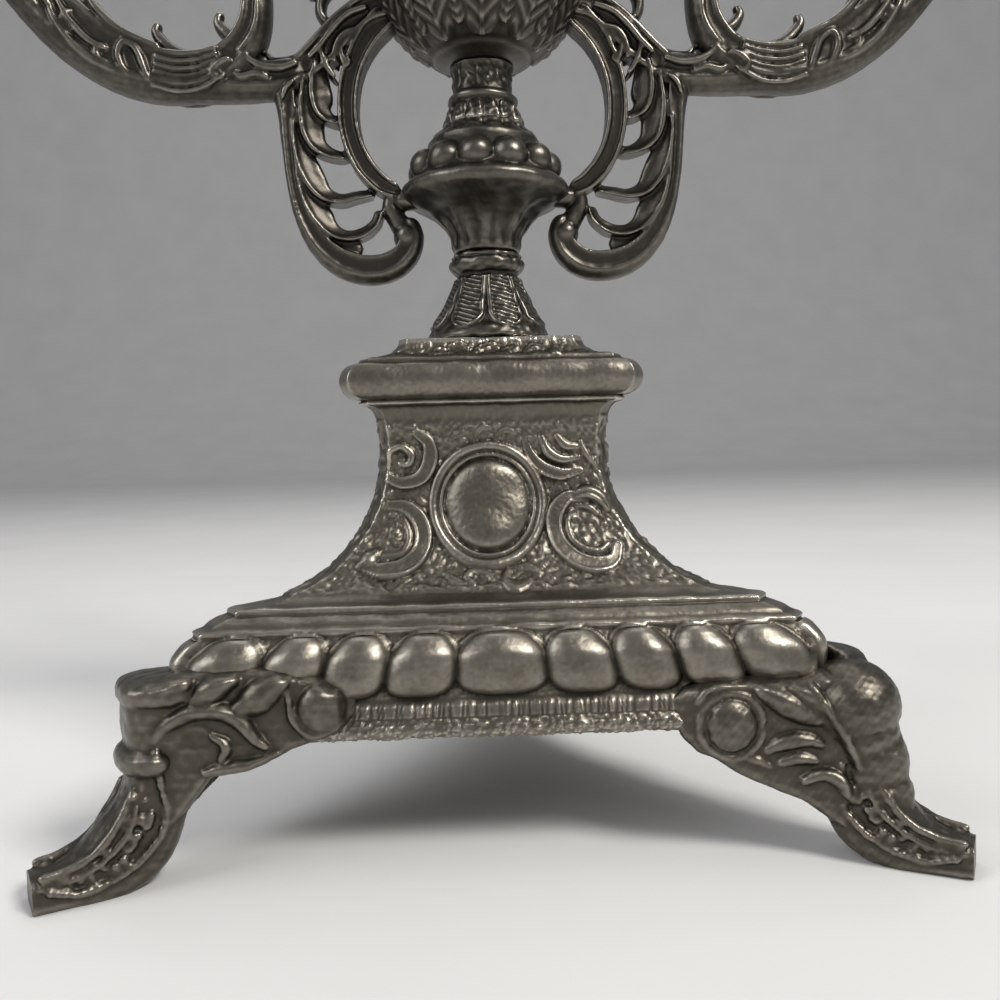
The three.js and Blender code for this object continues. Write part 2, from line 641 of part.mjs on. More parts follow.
function urnBowl() {
  const inside = urnInside();
  const profile = [[0, URN_Z], ...urnOutline(), ...inside.toReversed(), [0, inside[0][1]]];
  const body = solidOf(turned(profile, BROAD));
  return cut(body, [solidOf(rod(ROD_RADIUS + SEAM, URN_Z - 1, COVER_Z)), ...armScrewHoles()]);
}

function urnCover() {
  const h = COVER_HEIGHT;
  const rim = URN_RADIUS * 0.9;
  const profile = [
    [0, 0], [rim, 0], [rim + 1.6, 1.2], [rim + 0.6, 3.2], [rim - 2.8, 4.4],
    [rim * 0.7, 7], [rim * 0.44, 10], [6, 13.5], [5.4, h - 3.6], [7, h - 1.4], [6.6, h], [0, h],
  ];
  const body = solidOf(turned(profile.map(([radius, z]) => [radius, z + COVER_Z]), BROAD));
  return bored(body, ROD_RADIUS + SEAM, COVER_Z - 1, SPINDLE_Z + 1);
}

// The baluster that lifts the middle light over the side ones, as parts of its radius and height
function centreSpindle() {
  const profile = [
    [0, 0], [0.8, 0], [0.8, 0.03], [0.56, 0.1], [0.61, 0.21], [0.9, 0.31], [1, 0.4], [0.9, 0.48],
    [0.61, 0.54], [0.76, 0.575], [0.58, 0.61], [0.54, 0.73], [0.58, 0.83], [0.8, 0.945], [0.8, 1], [0, 1],
  ].map(([radius, z]) => [radius * SPINDLE_RADIUS, SPINDLE_Z + z * SPINDLE_HEIGHT]);
  const rodHole = solidOf(rod(ROD_RADIUS + SEAM, SPINDLE_Z - 1, SPINDLE_Z + ROD_INTO_SPINDLE + 1));
  return cut(solidOf(turned(profile)), [rodHole, solidOf(cupScrewHole(0, SPINDLE_TOP))]);
}

const NUT_Z = COLUMN_Z - CEILING - SEAM - WASHER_THICKNESS - SEAM - NUT_HEIGHT;

function tieRod() {
  return rod(ROD_RADIUS, NUT_Z - 3, SPINDLE_Z + ROD_INTO_SPINDLE);
}

function baseWasher() {
  const low = NUT_Z + NUT_HEIGHT + SEAM;
  const disc = solidOf(rod(WASHER_RADIUS, low, low + WASHER_THICKNESS, FINE));
  return bored(disc, ROD_RADIUS + SEAM, low - 1, low + 5);
}

function baseNut() {
  const across = NUT_ACROSS / Math.sqrt(3);
  const hexagon = solidOf(rod(across, NUT_Z, NUT_Z + NUT_HEIGHT, 6));
  return bored(hexagon, ROD_RADIUS + SEAM, NUT_Z - 1, NUT_Z + NUT_HEIGHT + 1);
}

// Arms: built for +X, then turned half round for the other side

const PIN_Z = KNOP_Z + KNOP_HEIGHT * 0.45;
const PIN_START = KNOP_RIM - 4.5;
const ARM_SCREW_Z = URN_Z + URN_HEIGHT * 0.44;
const ARM_SCREW_START = radiusAt(urnInside(), ARM_SCREW_Z - ARM_SCREW_HEAD) - SEAM;

function sidewaysRod(radius, from, to, z) {
  return rod(radius, from, to).rotateY(Math.PI / 2).translate(0, 0, z);
}

function bothSides(solid) {
  return [solid, solid.rotate([0, 0, 180])];
}

function pinHoles() {
  return bothSides(solidOf(sidewaysRod(PIN_RADIUS + SEAM, PIN_START - SEAM, KNOP_RIM + 5, PIN_Z)));
}

function armScrewHoles() {
  const radius = ARM_SCREW_RADIUS + SEAM;
  return bothSides(solidOf(sidewaysRod(radius, ARM_SCREW_START - 5, URN_RADIUS + 5, ARM_SCREW_Z)));
}

// The strokes of the casting, each a list of [x, z, half thickness, half depth].
const ARM_STROKES = [
  // candle scroll, from the curled inner end round to the tip
  { steps: 16, sides: 6, knots: [
    [61.2, 179.9, 1.4, 1.7], [66.3, 183.3, 1.7, 2], [65, 190.1, 2, 2.4], [57, 192.2, 2.1, 2.7],
    [49.3, 185.8, 2.3, 3.1],
    [46.6, 175.6, 2.6, 3.4], [48.1, 164.6, 3.2, 3.9], [54.4, 158.1, 4.1, 4.6], [64.6, 156.7, 4.8, 5.1],
    [74.8, 159, 5.1, 5.1], [84.2, 165, 5.6, 5.1], [92.2, 173.1, 5.8, 4.9], [99.9, 182.4, 4.8, 4.4],
    [106.2, 193.5, 3.7, 4.1], [109, 205, 4, 4],
  ] },
  // neck between the candle scroll and the bracket
  { steps: 4, sides: 6, knots: [
    [56.1, 157.6, 3.6, 4.2], [48.5, 157, 4, 3.8], [42.5, 156.4, 4.4, 3.6], [36.5, 159, 4.4, 3.4],
  ] },
  // outer loop of the bracket, down and round to the knop
  { steps: 11, sides: 6, knots: [
    [43, 157, 2.4, 3], [42.4, 147.9, 1.8, 2.8], [41.6, 137.5, 1.8, 2.8], [39.6, 129.3, 2, 2.8],
    [36, 122.3, 2.3, 2.9],
    [31.2, 117.7, 2.7, 3], [25.2, 116.2, 3, 3.1], [20, 117.8, 3, 3.1], [17.2, 121.6, 3, 3.1],
    [18.2, 126.6, 2.8, 3], [14.5, 130.5, 2.8, 2.9],
  ] },
  // inner bar between the knop and the urn
  { steps: 8, sides: 6, knots: [
    [18, 131.5, 2.2, 3], [21.5, 133.4, 2.3, 2.8], [25.2, 137.3, 2.3, 2.6], [28.2, 143.6, 2.3, 2.6],
    [29.5, 152.3, 2.3, 2.6],
    [28.4, 159.6, 2.4, 2.6], [25.6, 164.6, 2.6, 2.8], [20, 169.9, 3, 3.2],
  ] },
  // leafy shoulder over the top of the bracket
  { steps: 5, sides: 6, knots: [
    [20, 169.9, 3, 3.2], [27, 169.5, 3.2, 3.2], [32.5, 166.5, 3.4, 3.2], [36.5, 161, 3.2, 3],
    [40.5, 156, 2.6, 2.8],
  ] },
  // four ribs, from the loop to the bar
  { steps: 4, sides: 4, knots: [
    [37.1, 163.1, 1.5, 2], [38.2, 154.4, 1.5, 2], [36.9, 150.5, 1.4, 2], [30, 147.9, 1.4, 2],
  ] },
  { steps: 4, sides: 4, knots: [
    [41, 152, 1.3, 2], [40.3, 147.1, 1.5, 2], [38.6, 142.3, 1.5, 2], [35.1, 139.7, 1.4, 2],
    [28.5, 139.3, 1.4, 2],
  ] },
  { steps: 4, sides: 4, knots: [
    [41.6, 140.1, 1.3, 2], [40.3, 135.8, 1.5, 2], [37.3, 131.4, 1.5, 2], [33.4, 129.7, 1.4, 2],
    [23.5, 132.6, 1.4, 2],
  ] },
  { steps: 4, sides: 4, knots: [
    [40.3, 134, 1.3, 2], [39, 128.4, 1.5, 2], [35.6, 124.1, 1.5, 2], [30.8, 122.3, 1.4, 2],
    [26.5, 123.4, 1.4, 2], [20.5, 129, 1.4, 2],
  ] },
  // leaf tips inside the candle scroll
  { steps: 2, sides: 6, knots: [[62.9, 160.3, 1.5, 2.2], [67.2, 163, 1.3, 1.9], [68.9, 167, 0.7, 1.2]] },
  { steps: 2, sides: 6, knots: [
    [50.2, 163.7, 1.5, 2.2], [54.8, 166.4, 1.3, 1.9], [56.5, 170.2, 0.7, 1.2],
  ] },
];

// Where the drawing's fixed points lie: the shoulder in the urn, the bracket's end in the knop, the tip
const drawnShoulder = ARM_STROKES[4].knots[0];
const drawnPin = ARM_STROKES[2].knots.at(-1);
const drawnTip = ARM_STROKES[0].knots.at(-1);

// A knot of the drawing, moved with the present sizes of the urn, the column and the arm
function placed([x, z, thick, deep]) {
  const { mapLinear } = THREE.MathUtils;
  const shoulderX = URN_RADIUS - SHOULDER_SUNK;
  const heft = ARM_TIP_RADIUS / (1.35 * drawnTip[2]);
  const across = x < drawnShoulder[0]
    ? (x * shoulderX) / drawnShoulder[0]
    : mapLinear(x, drawnShoulder[0], drawnTip[0], shoulderX, ARM_REACH);
  const up = z < drawnShoulder[1]
    ? mapLinear(z, drawnPin[1], drawnShoulder[1], PIN_Z, ARM_SCREW_Z)
    : mapLinear(z, drawnShoulder[1], drawnTip[1], ARM_SCREW_Z, ARM_SEAT_HEIGHT - TIP_BELOW_SEAT);
  return [across, up, thick * heft, deep * heft];
}

function cupScrewHole(x, seatZ) {
  return rod(CUP_SCREW_RADIUS + SEAM, seatZ - CUP_SCREW_INTO_SEAT - 1, seatZ + 1).translate(x, 0, 0);
}

function armSolid() {
  const seat = turned([
    [0, ARM_SEAT_HEIGHT - 8], [ARM_TIP_RADIUS * 0.7, ARM_SEAT_HEIGHT - 8],
    [ARM_TIP_RADIUS - 0.6, ARM_SEAT_HEIGHT - 4],
    [ARM_TIP_RADIUS + 1, ARM_SEAT_HEIGHT - 1.6], [ARM_TIP_RADIUS + 1, ARM_SEAT_HEIGHT],
    [0, ARM_SEAT_HEIGHT],
  ], 12).translate(ARM_REACH, 0, 0);
  const strokes = ARM_STROKES.map(({ knots, steps, sides }) => stroke(knots.map(placed), steps, sides));
  const casting = fuse([...strokes, seat].map(solidOf));
  const knop = solidOf(turned(knopOutline(SEAM), BROAD));
  const urn = solidOf(turned([[0, URN_Z - SEAM], ...urnOutline(SEAM), [0, COVER_Z]], BROAD));
  const pinHole = solidOf(sidewaysRod(PIN_RADIUS + SEAM, PIN_START, PIN_START + PIN_LENGTH + SEAM, PIN_Z));
  const screwEnd = ARM_SCREW_START + ARM_SCREW_LENGTH + SEAM;
  const screwHole = solidOf(sidewaysRod(ARM_SCREW_RADIUS + SEAM, ARM_SCREW_START, screwEnd, ARM_SCREW_Z));
  return cut(casting, [knop, urn, pinHole, screwHole, solidOf(cupScrewHole(ARM_REACH, ARM_SEAT_HEIGHT))]);
}

function armPin() {
  return sidewaysRod(PIN_RADIUS, PIN_START, PIN_START + PIN_LENGTH, PIN_Z);
}

// A round-headed screw driven outwards from inside the urn
function armScrew() {
  const profile = [
    [0, -2.4], [ARM_SCREW_HEAD - 1, -2.4], [ARM_SCREW_HEAD, -1.2], [ARM_SCREW_HEAD, 0],
    [ARM_SCREW_RADIUS, 0], [ARM_SCREW_RADIUS, ARM_SCREW_LENGTH], [0, ARM_SCREW_LENGTH],
  ];
  return turned(profile, COARSE).rotateY(Math.PI / 2).translate(ARM_SCREW_START, 0, ARM_SCREW_Z);
}

// Lights: each is built at the origin and stood on its seat

function dripPan() {
  const r = PAN_RADIUS;
  const profile = [
    [0, 0], [6.4, 0], [r * 0.6, -1.4], [r * 0.86, 0.4], [r, PAN_HEIGHT - PAN_WALL], [r + 0.6, PAN_HEIGHT],
    [r - 1, PAN_HEIGHT], [r * 0.84, 0.6 + PAN_WALL], [r * 0.58, PAN_WALL - 1.2],
    [7, PAN_HUB], [0, PAN_HUB],
  ];
  return bored(solidOf(turned(profile)), CUP_SCREW_RADIUS + SEAM, -3, PAN_HUB + 1);
}

const CUP_BORE = CANDLE_RADIUS + NOZZLE_WALL + SEAM;

function candleCup() {
  const h = CUP_HEIGHT;
  const profile = [
    [0, 0], [CUP_RIM * 0.486, 0], [CUP_RIM * 0.371, h * 0.104], [CUP_RIM * 0.771, h * 0.296],
    [CUP_RIM * 0.964, h * 0.5], [CUP_RIM * 0.957, h * 0.74], [CUP_RIM, h * 0.92], [CUP_RIM, h],
    [CUP_BORE, h], [CUP_BORE, h - NOZZLE_DEPTH + 2.4], [CUP_BORE / 2, CUP_FLOOR], [0, CUP_FLOOR],
  ];
  return bored(solidOf(turned(profile)), CUP_SCREW_RADIUS + SEAM, -1, CUP_FLOOR + 1);
}

function cupScrew() {
  const head = PAN_HUB + SEAM + CUP_FLOOR + SEAM;
  const tip = -CUP_SCREW_INTO_SEAT;
  return turned([
    [0, tip], [CUP_SCREW_RADIUS, tip], [CUP_SCREW_RADIUS, head], [CUP_SCREW_HEAD, head],
    [CUP_SCREW_HEAD, head + 1], [CUP_SCREW_HEAD - 1.2, head + 2.2], [0, head + 2.2],
  ], COARSE);
}

// The loose socket: a thin sleeve for the candle, with a dished flange that catches the wax
function nozzle() {
  const outer = CANDLE_RADIUS + NOZZLE_WALL;
  const floor = -NOZZLE_DEPTH + 1;
  return turned([
    [0, -NOZZLE_DEPTH - 0.6], [outer - 3, -NOZZLE_DEPTH - 0.6], [outer, -NOZZLE_DEPTH + 3], [outer, 0],
    [NOZZLE_FLANGE * 0.86, 0.4], [NOZZLE_FLANGE, NOZZLE_LIP], [NOZZLE_FLANGE - 1.2, NOZZLE_LIP],
    [NOZZLE_FLANGE * 0.8, 1.4], [outer + 1.2, 1.2], [outer + 0.2, 2.8], [CANDLE_RADIUS, 2.8],
    [CANDLE_RADIUS, floor + 2], [CANDLE_RADIUS - 2, floor], [0, floor],
  ]);
}

function light(side, x, seatZ) {
  const group = new THREE.Group();
  group.position.set(x, 0, seatZ + SEAM);
  const pan = named(`${side}_drip_pan`, geometryOf(dripPan()), DARK_CASTING);
  const cup = named(`${side}_candle_cup`, geometryOf(candleCup()), DARK_CASTING);
  cup.position.z = PAN_HUB + SEAM;
  const screw = named(`${side}_cup_screw`, cupScrew(), STEEL);
  const sleeve = named(`${side}_nozzle`, nozzle(), DARK_CASTING);
  sleeve.position.z = PAN_HUB + SEAM + CUP_HEIGHT + SEAM;
  group.add(pan, cup, screw, sleeve);
  return group;
}

// Assembly
const candelabra = new THREE.Group();
candelabra.add(named("base_shell", geometryOf(baseShell()), BROWNED_CASTING));

const footGeometry = geometryOf(footSolid());
const footScrewGeometry = footScrew();
["front_right", "rear", "front_left"].forEach((corner, i) => {
  const place = new THREE.Group();
  place.rotation.z = FRONT_CORNER + THREE.MathUtils.degToRad(THIRDS[i]);
  place.add(
    named(`foot_${corner}`, footGeometry, BROWNED_CASTING),
    named(`foot_screw_${corner}`, footScrewGeometry, STEEL),
  );
  candelabra.add(place);
});

candelabra.add(
  named("stem_foot", geometryOf(stemFoot()), DARK_CASTING),
  named("bead_knop", geometryOf(beadKnop()), DARK_CASTING),
  named("stem_neck", geometryOf(stemNeck()), DARK_CASTING),
  named("urn_bowl", geometryOf(urnBowl()), DARK_CASTING),
  named("urn_cover", geometryOf(urnCover()), DARK_CASTING),
  named("centre_spindle", geometryOf(centreSpindle()), DARK_CASTING),
  named("tie_rod", tieRod(), STEEL),
  named("base_washer", geometryOf(baseWasher()), STEEL),
  named("base_nut", geometryOf(baseNut()), STEEL),
);

const armGeometry = geometryOf(armSolid());
["right", "left"].forEach((side, i) => {
  const half = new THREE.Group();
  half.rotation.z = Math.PI * i;
  half.add(
    named(`${side}_arm`, armGeometry, DARK_CASTING),
    named(`${side}_arm_pin`, armPin(), STEEL),
    named(`${side}_arm_screw`, armScrew(), STEEL),
  );
  candelabra.add(half);
});

candelabra.add(
  light("left", -ARM_REACH, ARM_SEAT_HEIGHT),
  light("centre", 0, SPINDLE_TOP),
  light("right", ARM_REACH, ARM_SEAT_HEIGHT),
);

const floorPlan = new THREE.Box3().setFromObject(candelabra, true);
candelabra.position.y = -(floorPlan.min.y + floorPlan.max.y) / 2;

export default candelabra;
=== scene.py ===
# %% [markdown]
# # A three-footed candelabra in blackened cast metal
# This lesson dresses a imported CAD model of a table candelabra. The CAD gives every casting its
# place and size. What it leaves out is what the eye enjoys: swollen gadroons, leaf scrolls, beaded
# edges, and a dark patina that is rubbed bright on every high spot. We build those here, piece by
# piece, and let each new piece stand in for the plain CAD solid under it.

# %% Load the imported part
import bpy
import math
import numpy as np
from mathutils import Matrix, Vector


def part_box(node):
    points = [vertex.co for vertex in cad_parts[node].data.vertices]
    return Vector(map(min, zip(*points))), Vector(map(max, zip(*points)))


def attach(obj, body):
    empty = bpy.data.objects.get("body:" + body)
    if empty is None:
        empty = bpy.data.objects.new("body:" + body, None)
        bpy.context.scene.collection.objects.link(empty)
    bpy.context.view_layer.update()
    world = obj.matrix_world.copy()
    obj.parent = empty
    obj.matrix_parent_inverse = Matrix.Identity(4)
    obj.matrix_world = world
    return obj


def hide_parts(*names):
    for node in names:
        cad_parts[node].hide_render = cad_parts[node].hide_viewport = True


MM = 1000  # millimetres in a metre

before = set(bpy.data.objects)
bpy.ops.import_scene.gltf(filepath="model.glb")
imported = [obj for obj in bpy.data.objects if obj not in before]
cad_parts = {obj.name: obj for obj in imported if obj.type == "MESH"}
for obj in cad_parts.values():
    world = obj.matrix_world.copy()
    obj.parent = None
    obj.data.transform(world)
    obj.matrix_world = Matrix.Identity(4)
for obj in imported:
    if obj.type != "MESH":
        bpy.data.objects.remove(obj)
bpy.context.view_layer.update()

# %% [markdown]
# ## Levels and the column's axis
# A founder works from a full-size drawing with every level marked on it. Our drawing is the CAD
# model, so we measure its pieces instead of typing the numbers again. All shapes below are drawn in
# millimetres about the column's axis, and only the last helper turns them into metres in the room.

# %% Measure the castings
def span(node):
    """Lowest and highest corner of a CAD piece, in mm."""
    low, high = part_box(node)
    return np.array(low) * MM, np.array(high) * MM


def underside(node):
    """Height of a CAD piece's lowest point, in mm."""
    return span(node)[0][2]


neck_low, neck_high = span("stem_neck")
AXIS_Y = (neck_low[1] + neck_high[1]) / 2
base_low, base_high = span("base_shell")
FOOT_HEIGHT = base_low[2]
COLUMN_Z = base_high[2]
APRON_TOP = FOOT_HEIGHT + 7.2
BAND_TOP = APRON_TOP + 12.2
RAIL_TOP = BAND_TOP + 4.2
WAIST_Z = RAIL_TOP + 29.4
SLAB_Z = WAIST_Z + 9.4
SLAB_TOP = SLAB_Z + 8
print("axis y", round(AXIS_Y, 2), "base", FOOT_HEIGHT, "column seat", round(COLUMN_Z, 2))

# %% [markdown]
# ## From numbers to a mesh
# Relief like this could be sculpted by hand, or carved with a displacement modifier and an image.
# We compute it instead: a dense grid of points whose heights come from short formulas. It gives the
# same result each time, needs no image, and the relief is real geometry that survives an export.

# %% Mesh helpers
def into_scene(name, data):
    """A new object in the scene, round a mesh, a lamp or a camera."""
    thing = bpy.data.objects.new(name, data)
    bpy.context.scene.collection.objects.link(thing)
    return thing


def make_mesh(name, points, faces):
    """A mesh object from points in mm about the column's axis. Faces are rows of four corners."""
    mesh = bpy.data.meshes.new(name)
    placed = np.asarray(points, float).reshape(-1, 3) / MM
    placed[:, 1] += AXIS_Y / MM
    faces = np.asarray(faces, np.int32)
    mesh.vertices.add(len(placed))
    mesh.vertices.foreach_set("co", placed.astype(np.float32).ravel())
    mesh.loops.add(faces.size)
    mesh.loops.foreach_set("vertex_index", faces.ravel())
    mesh.polygons.add(len(faces))
    mesh.polygons.foreach_set("loop_start", np.arange(0, faces.size, 4, dtype=np.int32))
    mesh.update(calc_edges=True)
    mesh.validate()
    return into_scene(name, mesh)


def grid_faces(rows, columns, close_rows=False):
    """Quads over a grid that wraps round sideways, and from last row to first if close_rows."""
    i = np.arange(rows if close_rows else rows - 1)[:, None]
    j = np.arange(columns)[None, :]
    a, b = i * columns + j, i * columns + (j + 1) % columns
    up = ((i + 1) % rows - i) * columns
    return np.stack([a, b, b + up, a + up], -1).reshape(-1, 4)


def shell_faces(rows, around):
    """Faces of a closed bar: its sides, and a flat cap of crosswise strips at each end."""
    j = np.arange(around // 2 - 1)[:, None]
    first = np.hstack([j + 1, j, around - 1 - j, around - 2 - j])
    last = (rows - 1) * around + np.hstack([j, j + 1, around - 2 - j, around - 1 - j])
    return np.vstack([grid_faces(rows, around), first, last])


print("first face of a small grid:", grid_faces(2, 4)[0].tolist())

# %% [markdown]
# ## Lines and outlines
# A carver sets out a scroll with a few marks and joins them by eye. We do the same: a handful of
# knots, and a curve that passes through each one smoothly. Blender's own curve objects can do this
# too, but here the formulas need the points as plain numbers, so we compute them ourselves.

# %% Lines through knots
def walked(points):
    """How far along a run of points each of them lies, in mm."""
    return np.concatenate([[0], np.cumsum(np.linalg.norm(np.diff(points, axis=0), axis=1))])


def unit(vectors):
    """The same directions, all one long."""
    return vectors / np.maximum(np.linalg.norm(vectors, axis=-1, keepdims=True), 1e-9)


def curve_through(knots, t, at):
    """Points for the values `at` on a smooth curve that passes each knot at its own t."""
    slope = np.gradient(knots, t, axis=0)
    i = np.clip(np.searchsorted(t, at, side="right") - 1, 0, len(t) - 2)
    h = (t[i + 1] - t[i])[:, None]
    s = ((at - t[i]) / h[:, 0])[:, None]
    return (
        (1 + 2 * s) * (1 - s) ** 2 * knots[i] + s * (1 - s) ** 2 * h * slope[i]
        + s * s * (3 - 2 * s) * knots[i + 1] + s * s * (s - 1) * h * slope[i + 1]
    )


def smooth_curve(knots, spacing):
    """Points about `spacing` mm apart through flat knots. A knot's further columns ride along."""
    knots = np.asarray(knots, float)
    gaps = np.linalg.norm(np.diff(knots[:, :2], axis=0), axis=1)
    t = np.concatenate([[0], np.cumsum(gaps**0.5 + 1e-6)])
    return curve_through(knots, t, np.linspace(0, t[-1], int(max(4, gaps.sum() / spacing))))


def soften(values, times):
    """Rounds off the corners of a run of points."""
    values = np.asarray(values, float).copy()
    for _ in range(times):
        values[1:-1] = (values[:-2] + 2 * values[1:-1] + values[2:]) / 4
    return values


def outline(knots, step, rounding):
    """Evenly spaced points along the straight runs between [reach, height] knots."""
    knots = np.asarray(knots, float)
    points = []
    for a, b in zip(knots[:-1], knots[1:]):
        n = max(1, int(round(np.linalg.norm(b - a) / step)))
        points.extend(a + (b - a) * k / n for k in range(n))
    points.append(knots[-1])
    return soften(points, rounding)


print("points on a 10 mm line:", len(smooth_curve([[0, 0], [5, 1], [10, 0]], 0.5)))

# %% [markdown]
# ## Chasing tools
# The pattern for a casting like this was carved with a small set of gouges and punches. We make the
# same set as formulas: a rounded ridge along a line, a dome, a ring, and a matting punch that
# peppers the ground between the ornaments. Each gives a height in mm over a grid of (u, z) places.

# %% Gouges
STROKE_STEP = 0.22
PLACES_AT_ONCE = 20000


def limit(value):
    """Holds a value between 0 and 1."""
    return np.clip(value, 0, 1)


def bulge(off):
    """A half-round section, from the squared distance off its middle: 1 there, and 0 from 1 on."""
    return np.sqrt(limit(1 - off))


def ridge(u, z, knots, rise, section="round"):
    """Height of one carved stroke. A knot is [u, z, half width]."""
    line = smooth_curve(knots, STROKE_STEP)
    reach = line[:, 2].max() * 1.1
    near = (u > line[:, 0].min() - reach) & (u < line[:, 0].max() + reach)
    near &= (z > line[:, 1].min() - reach) & (z < line[:, 1].max() + reach)
    height = np.zeros(u.shape)
    where = np.argwhere(near)
    for part in np.array_split(where, max(1, len(where) // PLACES_AT_ONCE)):
        if len(part) == 0:
            continue
        part = tuple(part.T)
        du, dz = u[part][:, None] - line[None, :, 0], z[part][:, None] - line[None, :, 1]
        gap = du**2 + dz**2
        best = gap.argmin(1)
        share = np.sqrt(gap[np.arange(len(best)), best]) / np.maximum(line[best, 2], 1e-3)
        shape = bulge(share**2)
        if section == "band":
            # nearly flat, with a rim along both edges
            shape = 0.78 * bulge(share**4) + 0.22 * limit(1 - ((share - 0.72) / 0.22) ** 2)
        if section == "leaf":
            # creased along the middle
            shape = shape * (0.72 + 0.28 * limit(share * 3))
        height[part] = rise * shape * np.clip(line[best, 2] / line[:, 2].max(), 0.35, 1)
    return height


def off_centre(u, z, centre, half):
    """Steps across and up from the centre, as shares of the half width and the half height."""
    return (u - centre[0]) / half[0], (z - centre[1]) / half[1]


def dome(u, z, centre, half, rise):
    """A low round boss."""
    du, dz = off_centre(u, z, centre, half)
    return rise * bulge(du**2 + dz**2)


def ring(u, z, centre, half, width, rise):
    """A raised oval line."""
    off = (np.hypot(*off_centre(u, z, centre, half)) - 1) * (half[0] + half[1]) / 2 / width
    return rise * bulge(off**2)


print("height of a dome at its middle:", float(dome(0.0, 0.0, (0, 0), (1, 1), 2.0)))


# %% Punches and sand
def scatter(i, j, seed):
    """A repeatable value from 0 to 1 for each whole-number cell."""
    mixed = np.sin(i * 127.1 + j * 311.7 + seed * 74.7) * 43758.5453
    return mixed - np.floor(mixed)


def matting(u, s, pitch, seed, keep=0.85):
    """Close-set round punch marks, none quite in line: 0 between them, 1 on top of each grain."""
    cu, cs = np.floor(u / pitch), np.floor(s / pitch)
    best = np.zeros(u.shape)
    for di in (-1, 0, 1):
        for dj in (-1, 0, 1):
            i, j = cu + di, cs + dj
            pu = (i + 0.2 + 0.6 * scatter(i, j, seed)) * pitch
            ps = (j + 0.2 + 0.6 * scatter(i, j, seed + 5)) * pitch
            size = pitch * (0.3 + 0.25 * scatter(i, j, seed + 9))
            mark = limit(1 - ((u - pu) ** 2 + (s - ps) ** 2) / size**2)
            best = np.maximum(best, mark * (scatter(i, j, seed + 13) < keep))
    return np.sqrt(best)


def mottle(u, s, pitch, seed):
    """Soft sandy unevenness, from 0 to 1: chance heights on a grid, blended smoothly."""
    u, s = u / pitch + 0.37 * np.sin(s / pitch), s / pitch
    i, j = np.floor(u), np.floor(s)
    a, b = u - i, s - j
    a, b = a * a * (3 - 2 * a), b * b * (3 - 2 * b)
    low = scatter(i, j, seed) * (1 - a) + scatter(i + 1, j, seed) * a
    high = scatter(i, j + 1, seed) * (1 - a) + scatter(i + 1, j + 1, seed) * a
    return low * (1 - b) + high * b


def wobble(points, size, seed):
    """Soft unevenness of a sand casting, from -1 to 1: a few crossed waves, `size` mm across."""
    total = np.zeros(points.shape[:-1])
    chance = np.random.default_rng(seed)
    for _ in range(7):
        way = chance.normal(size=3)
        way /= np.linalg.norm(way)
        length = size * chance.uniform(0.6, 1.6)
        total += np.sin(points @ way * (2 * math.pi / length) + chance.uniform(0, 6.3))
    return total / 3.2


print("three chance values:", [round(float(scatter(i, 0, 1)), 3) for i in range(3)])

# %% [markdown]
# ## The patina
# The real metal is nearly black in its hollows, brown where the lacquer has aged, and a warm grey
# where hands and dusters have rubbed the high spots. A painter gets there with a dark glaze and a
# dry brush. We do the same with numbers: each piece remembers how far each point stands above its
# surroundings, and the material mixes its colours and its gloss by that. Three mixes are enough:
# the arms and the column are darkest, the plinth is brownest, and the feet under it get a darker
# copy of the plinth's mix, which is painted shade for the weaker light that reaches them.

# %% Finishes
class Finish:
    """A material in the making: its shader, and short calls that add nodes and join them."""

    def __init__(self, name, **settings):
        self.material = bpy.data.materials.new(name)
        self.material.use_nodes = True
        tree = self.material.node_tree
        self.nodes, self.join = tree.nodes, tree.links.new
        self.shader = tree.nodes["Principled BSDF"].inputs
        for key, value in settings.items():
            self.shader[key].default_value = value
        self.place = self.add("TexCoord").outputs["Object"]

    def add(self, kind, **settings):
        node = self.nodes.new("ShaderNode" + kind)
        for key, value in settings.items():
            if key in node.inputs:
                node.inputs[key].default_value = value
            else:
                setattr(node, key, value)
        return node

    def texture(self, kind, **settings):
        """A pattern fixed to the piece itself. Its scale is in steps for each metre."""
        node = self.add("Tex" + kind, **settings)
        self.join(self.place, node.inputs["Vector"])
        return node.outputs["Fac"]

    def plus(self, value, pattern, share):
        """The value, broken up by a share of a pattern."""
        node = self.add("Math", operation="MULTIPLY_ADD")
        node.inputs[1].default_value = share
        self.join(pattern, node.inputs[0])
        self.join(value, node.inputs[2])
        return node.outputs[0]

    def ramp(self, value, socket, *stops):
        """Sets a socket of the shader by a value, through a ramp of (place, colour) stops."""
        node = self.add("ValToRGB")
        while len(node.color_ramp.elements) < len(stops):
            node.color_ramp.elements.new(0.5)
        for element, (place, colour) in zip(node.color_ramp.elements, stops):
            element.position = place
            element.color = (*colour, 1) if isinstance(colour, tuple) else (colour,) * 3 + (1,)
        self.join(value, node.inputs[0])
        self.join(node.outputs["Color"], self.shader[socket])

    def bump(self, pattern, strength, distance):
        """A texture too fine to model. The distance is in metres."""
        node = self.add("Bump", Strength=strength, Distance=distance)
        self.join(pattern, node.inputs["Height"])
        self.join(node.outputs["Normal"], self.shader["Normal"])


